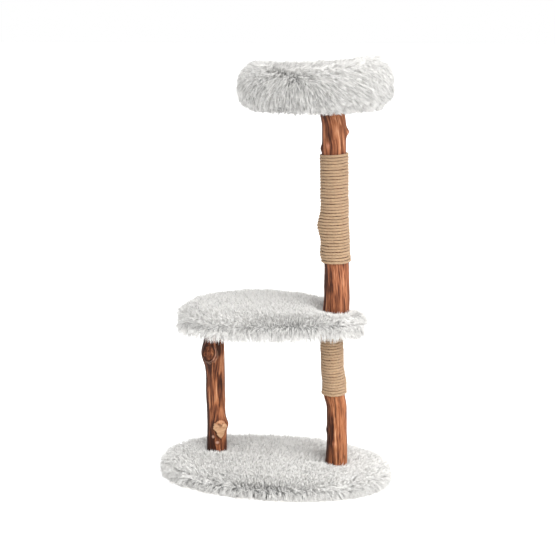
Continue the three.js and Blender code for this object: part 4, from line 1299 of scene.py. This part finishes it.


# `light` here is painted light and shade: a lift over the whole platform, painted shade on the left end and painted
# light on the right end
fur("platform_pile", V, F, int(150000 * DENSITY), rng, platform_keep,
    lambda P, Q: flat_comb(P, Q, PLAT, (-0.6, -0.5, 0), 0.9, 0.55, z_side=419.0),
    lambda P, Q: 1.9 - (1.15 - 0.45 * smoothstep(np.abs(P[:, 0] - PLAT["cx"]) / PLAT["a"], 0.6, 0.95)) * smoothstep(419.0 - P[:, 2], -8, 8) * platform_side(P, Q),
    lambda P, Q: (19.5 + 4.0 * smoothstep(1 - Q[:, 2], 0.1, 0.6) + 7.0 * smoothstep(P[:, 0], 170, 225)) * (1 - 0.22 * platform_side(P, Q) * np.exp(-((P[:, 2] - 415.0) / 4.0) ** 2)) * (1 + 0.14 * smoothstep(411.0 - P[:, 2], 0, 4)),
    lambda P, Q: 0.05 + 0.60 * platform_side(P, Q) * smoothstep(419.0 - P[:, 2], -8, 8), logs=(UPPER,), collars=((UPPER, 423.6, 560),), seed=202,
    clump=0.52, lock=0.48, wild=0.12, light=lambda P, N: 0.13 - 0.12 * smoothstep(-P[:, 0], 120, 220) + 0.10 * platform_end(P) * (P[:, 0] > 0), spread=0.8, weight=rim_weight(PLAT, 0.9), flat=lambda P, Q: 0.26 + 0.74 * np.maximum(smoothstep(419.0 - P[:, 2], -9, 8), 0.62 * platform_end(P) * smoothstep(1 - Q[:, 2], 0.02, 0.3)), stand=lambda P, Q: (1 - 0.55 * platform_end(P)) * smoothstep(P[:, 2], 411, 430), strand=0.18)

# bed
V, F, pin = bed_skin()
V = puff(V, F, pin, 4.0, 5.0)
cover("bed_cover", "bed_fur_cover", V, F)


def bed_comb(P, Q):
    x, y = P[:, 0] - BED_CX, (P[:, 1] - BED_CY) / BED_SY
    r = np.hypot(x, y)
    rad = unit(np.c_[x, y, np.zeros(len(P))])
    outside = smoothstep(r, 120, 150)[:, None]
    crest = smoothstep(P[:, 2], 1000, 1030)
    sweep = (smoothstep(x + 62 * crest, -50, 110) * smoothstep(P[:, 2], 945, 988))[:, None]
    down = np.array([0, 0, -1.0])
    return outside * (down * (1 - 0.75 * sweep) + np.array([1.0, 0, 0.0]) * sweep * 1.25 + rad * np.array([0.5, 0.1, 0]) + np.array([-0.45, 0, 0]) * ((1 - sweep[:, 0]) * crest * smoothstep(-x, 50, 115))[:, None]) + (1 - outside) * (np.array([0.9, 0.1, 0]) + rad * (0.15 + 0.8 * smoothstep(r, 92, 114)[:, None]))


# `light` here is painted light and shade: painted shade on the left sides of the bed and painted light on the front of
# the crest, where the parting sits in shade
fur("bed_pile", V, F, int(215000 * DENSITY), rng,
    lambda P, Q, r: P[:, 2] > 950.6, bed_comb,
    lambda P, Q: 0.80 + 1.2 * np.exp(-((np.hypot(P[:, 0] - BED_CX, (P[:, 1] - BED_CY) / BED_SY) - 136.0) / 15.0) ** 2) * smoothstep(Q[:, 2], 0.4, 0.9),
    lambda P, Q: 34.0 * (1 - 0.45 * smoothstep(-Q[:, 2], 0.1, 0.8)), 0.40, logs=(UPPER,), seed=303,
    clump=0.64, lock_size=3.2, lock=0.32, wild=0.08, light=lambda P, N: 0.04 - 0.28 * smoothstep(BED_CX - P[:, 0], -30, 80) * smoothstep(1 - N[:, 2], 0.0, 0.4) + 0.12 * np.exp(-((P[:, 0] - BED_CX + 32.0) / 36.0) ** 2) * smoothstep(P[:, 2], 1000, 1018), spread=1.3, strand=0.40, tufts=(7.5, 0.90), stand=lambda P, Q: 0.9 * smoothstep(P[:, 2], 1012, 1026),
    weight=lambda C: 1 + 0.7 * np.exp(-((np.hypot(C[:, 0] - BED_CX, (C[:, 1] - BED_CY) / BED_SY) - 137.0) / 9.0) ** 2) * (C[:, 2] > 1010))

# --------------------------------------------------------------------------
# finishes on the parts that stay as they are
# --------------------------------------------------------------------------
FINISH = {"board": BOARD, "lining": LINING, "foam": FOAM, "zinc_steel": STEEL, "fur": BACKING, "log_wood": WOOD, "sisal_rope": ROPE}
for s in frame["record"]["subparts"]:
    o = frame["nodes"].get(s["node"]) if hasattr(frame["nodes"], "get") else None
    if o is None or o.hide_render:
        continue
    for slot in o.material_slots:
        slot.material = FINISH[s["material_slot"]]
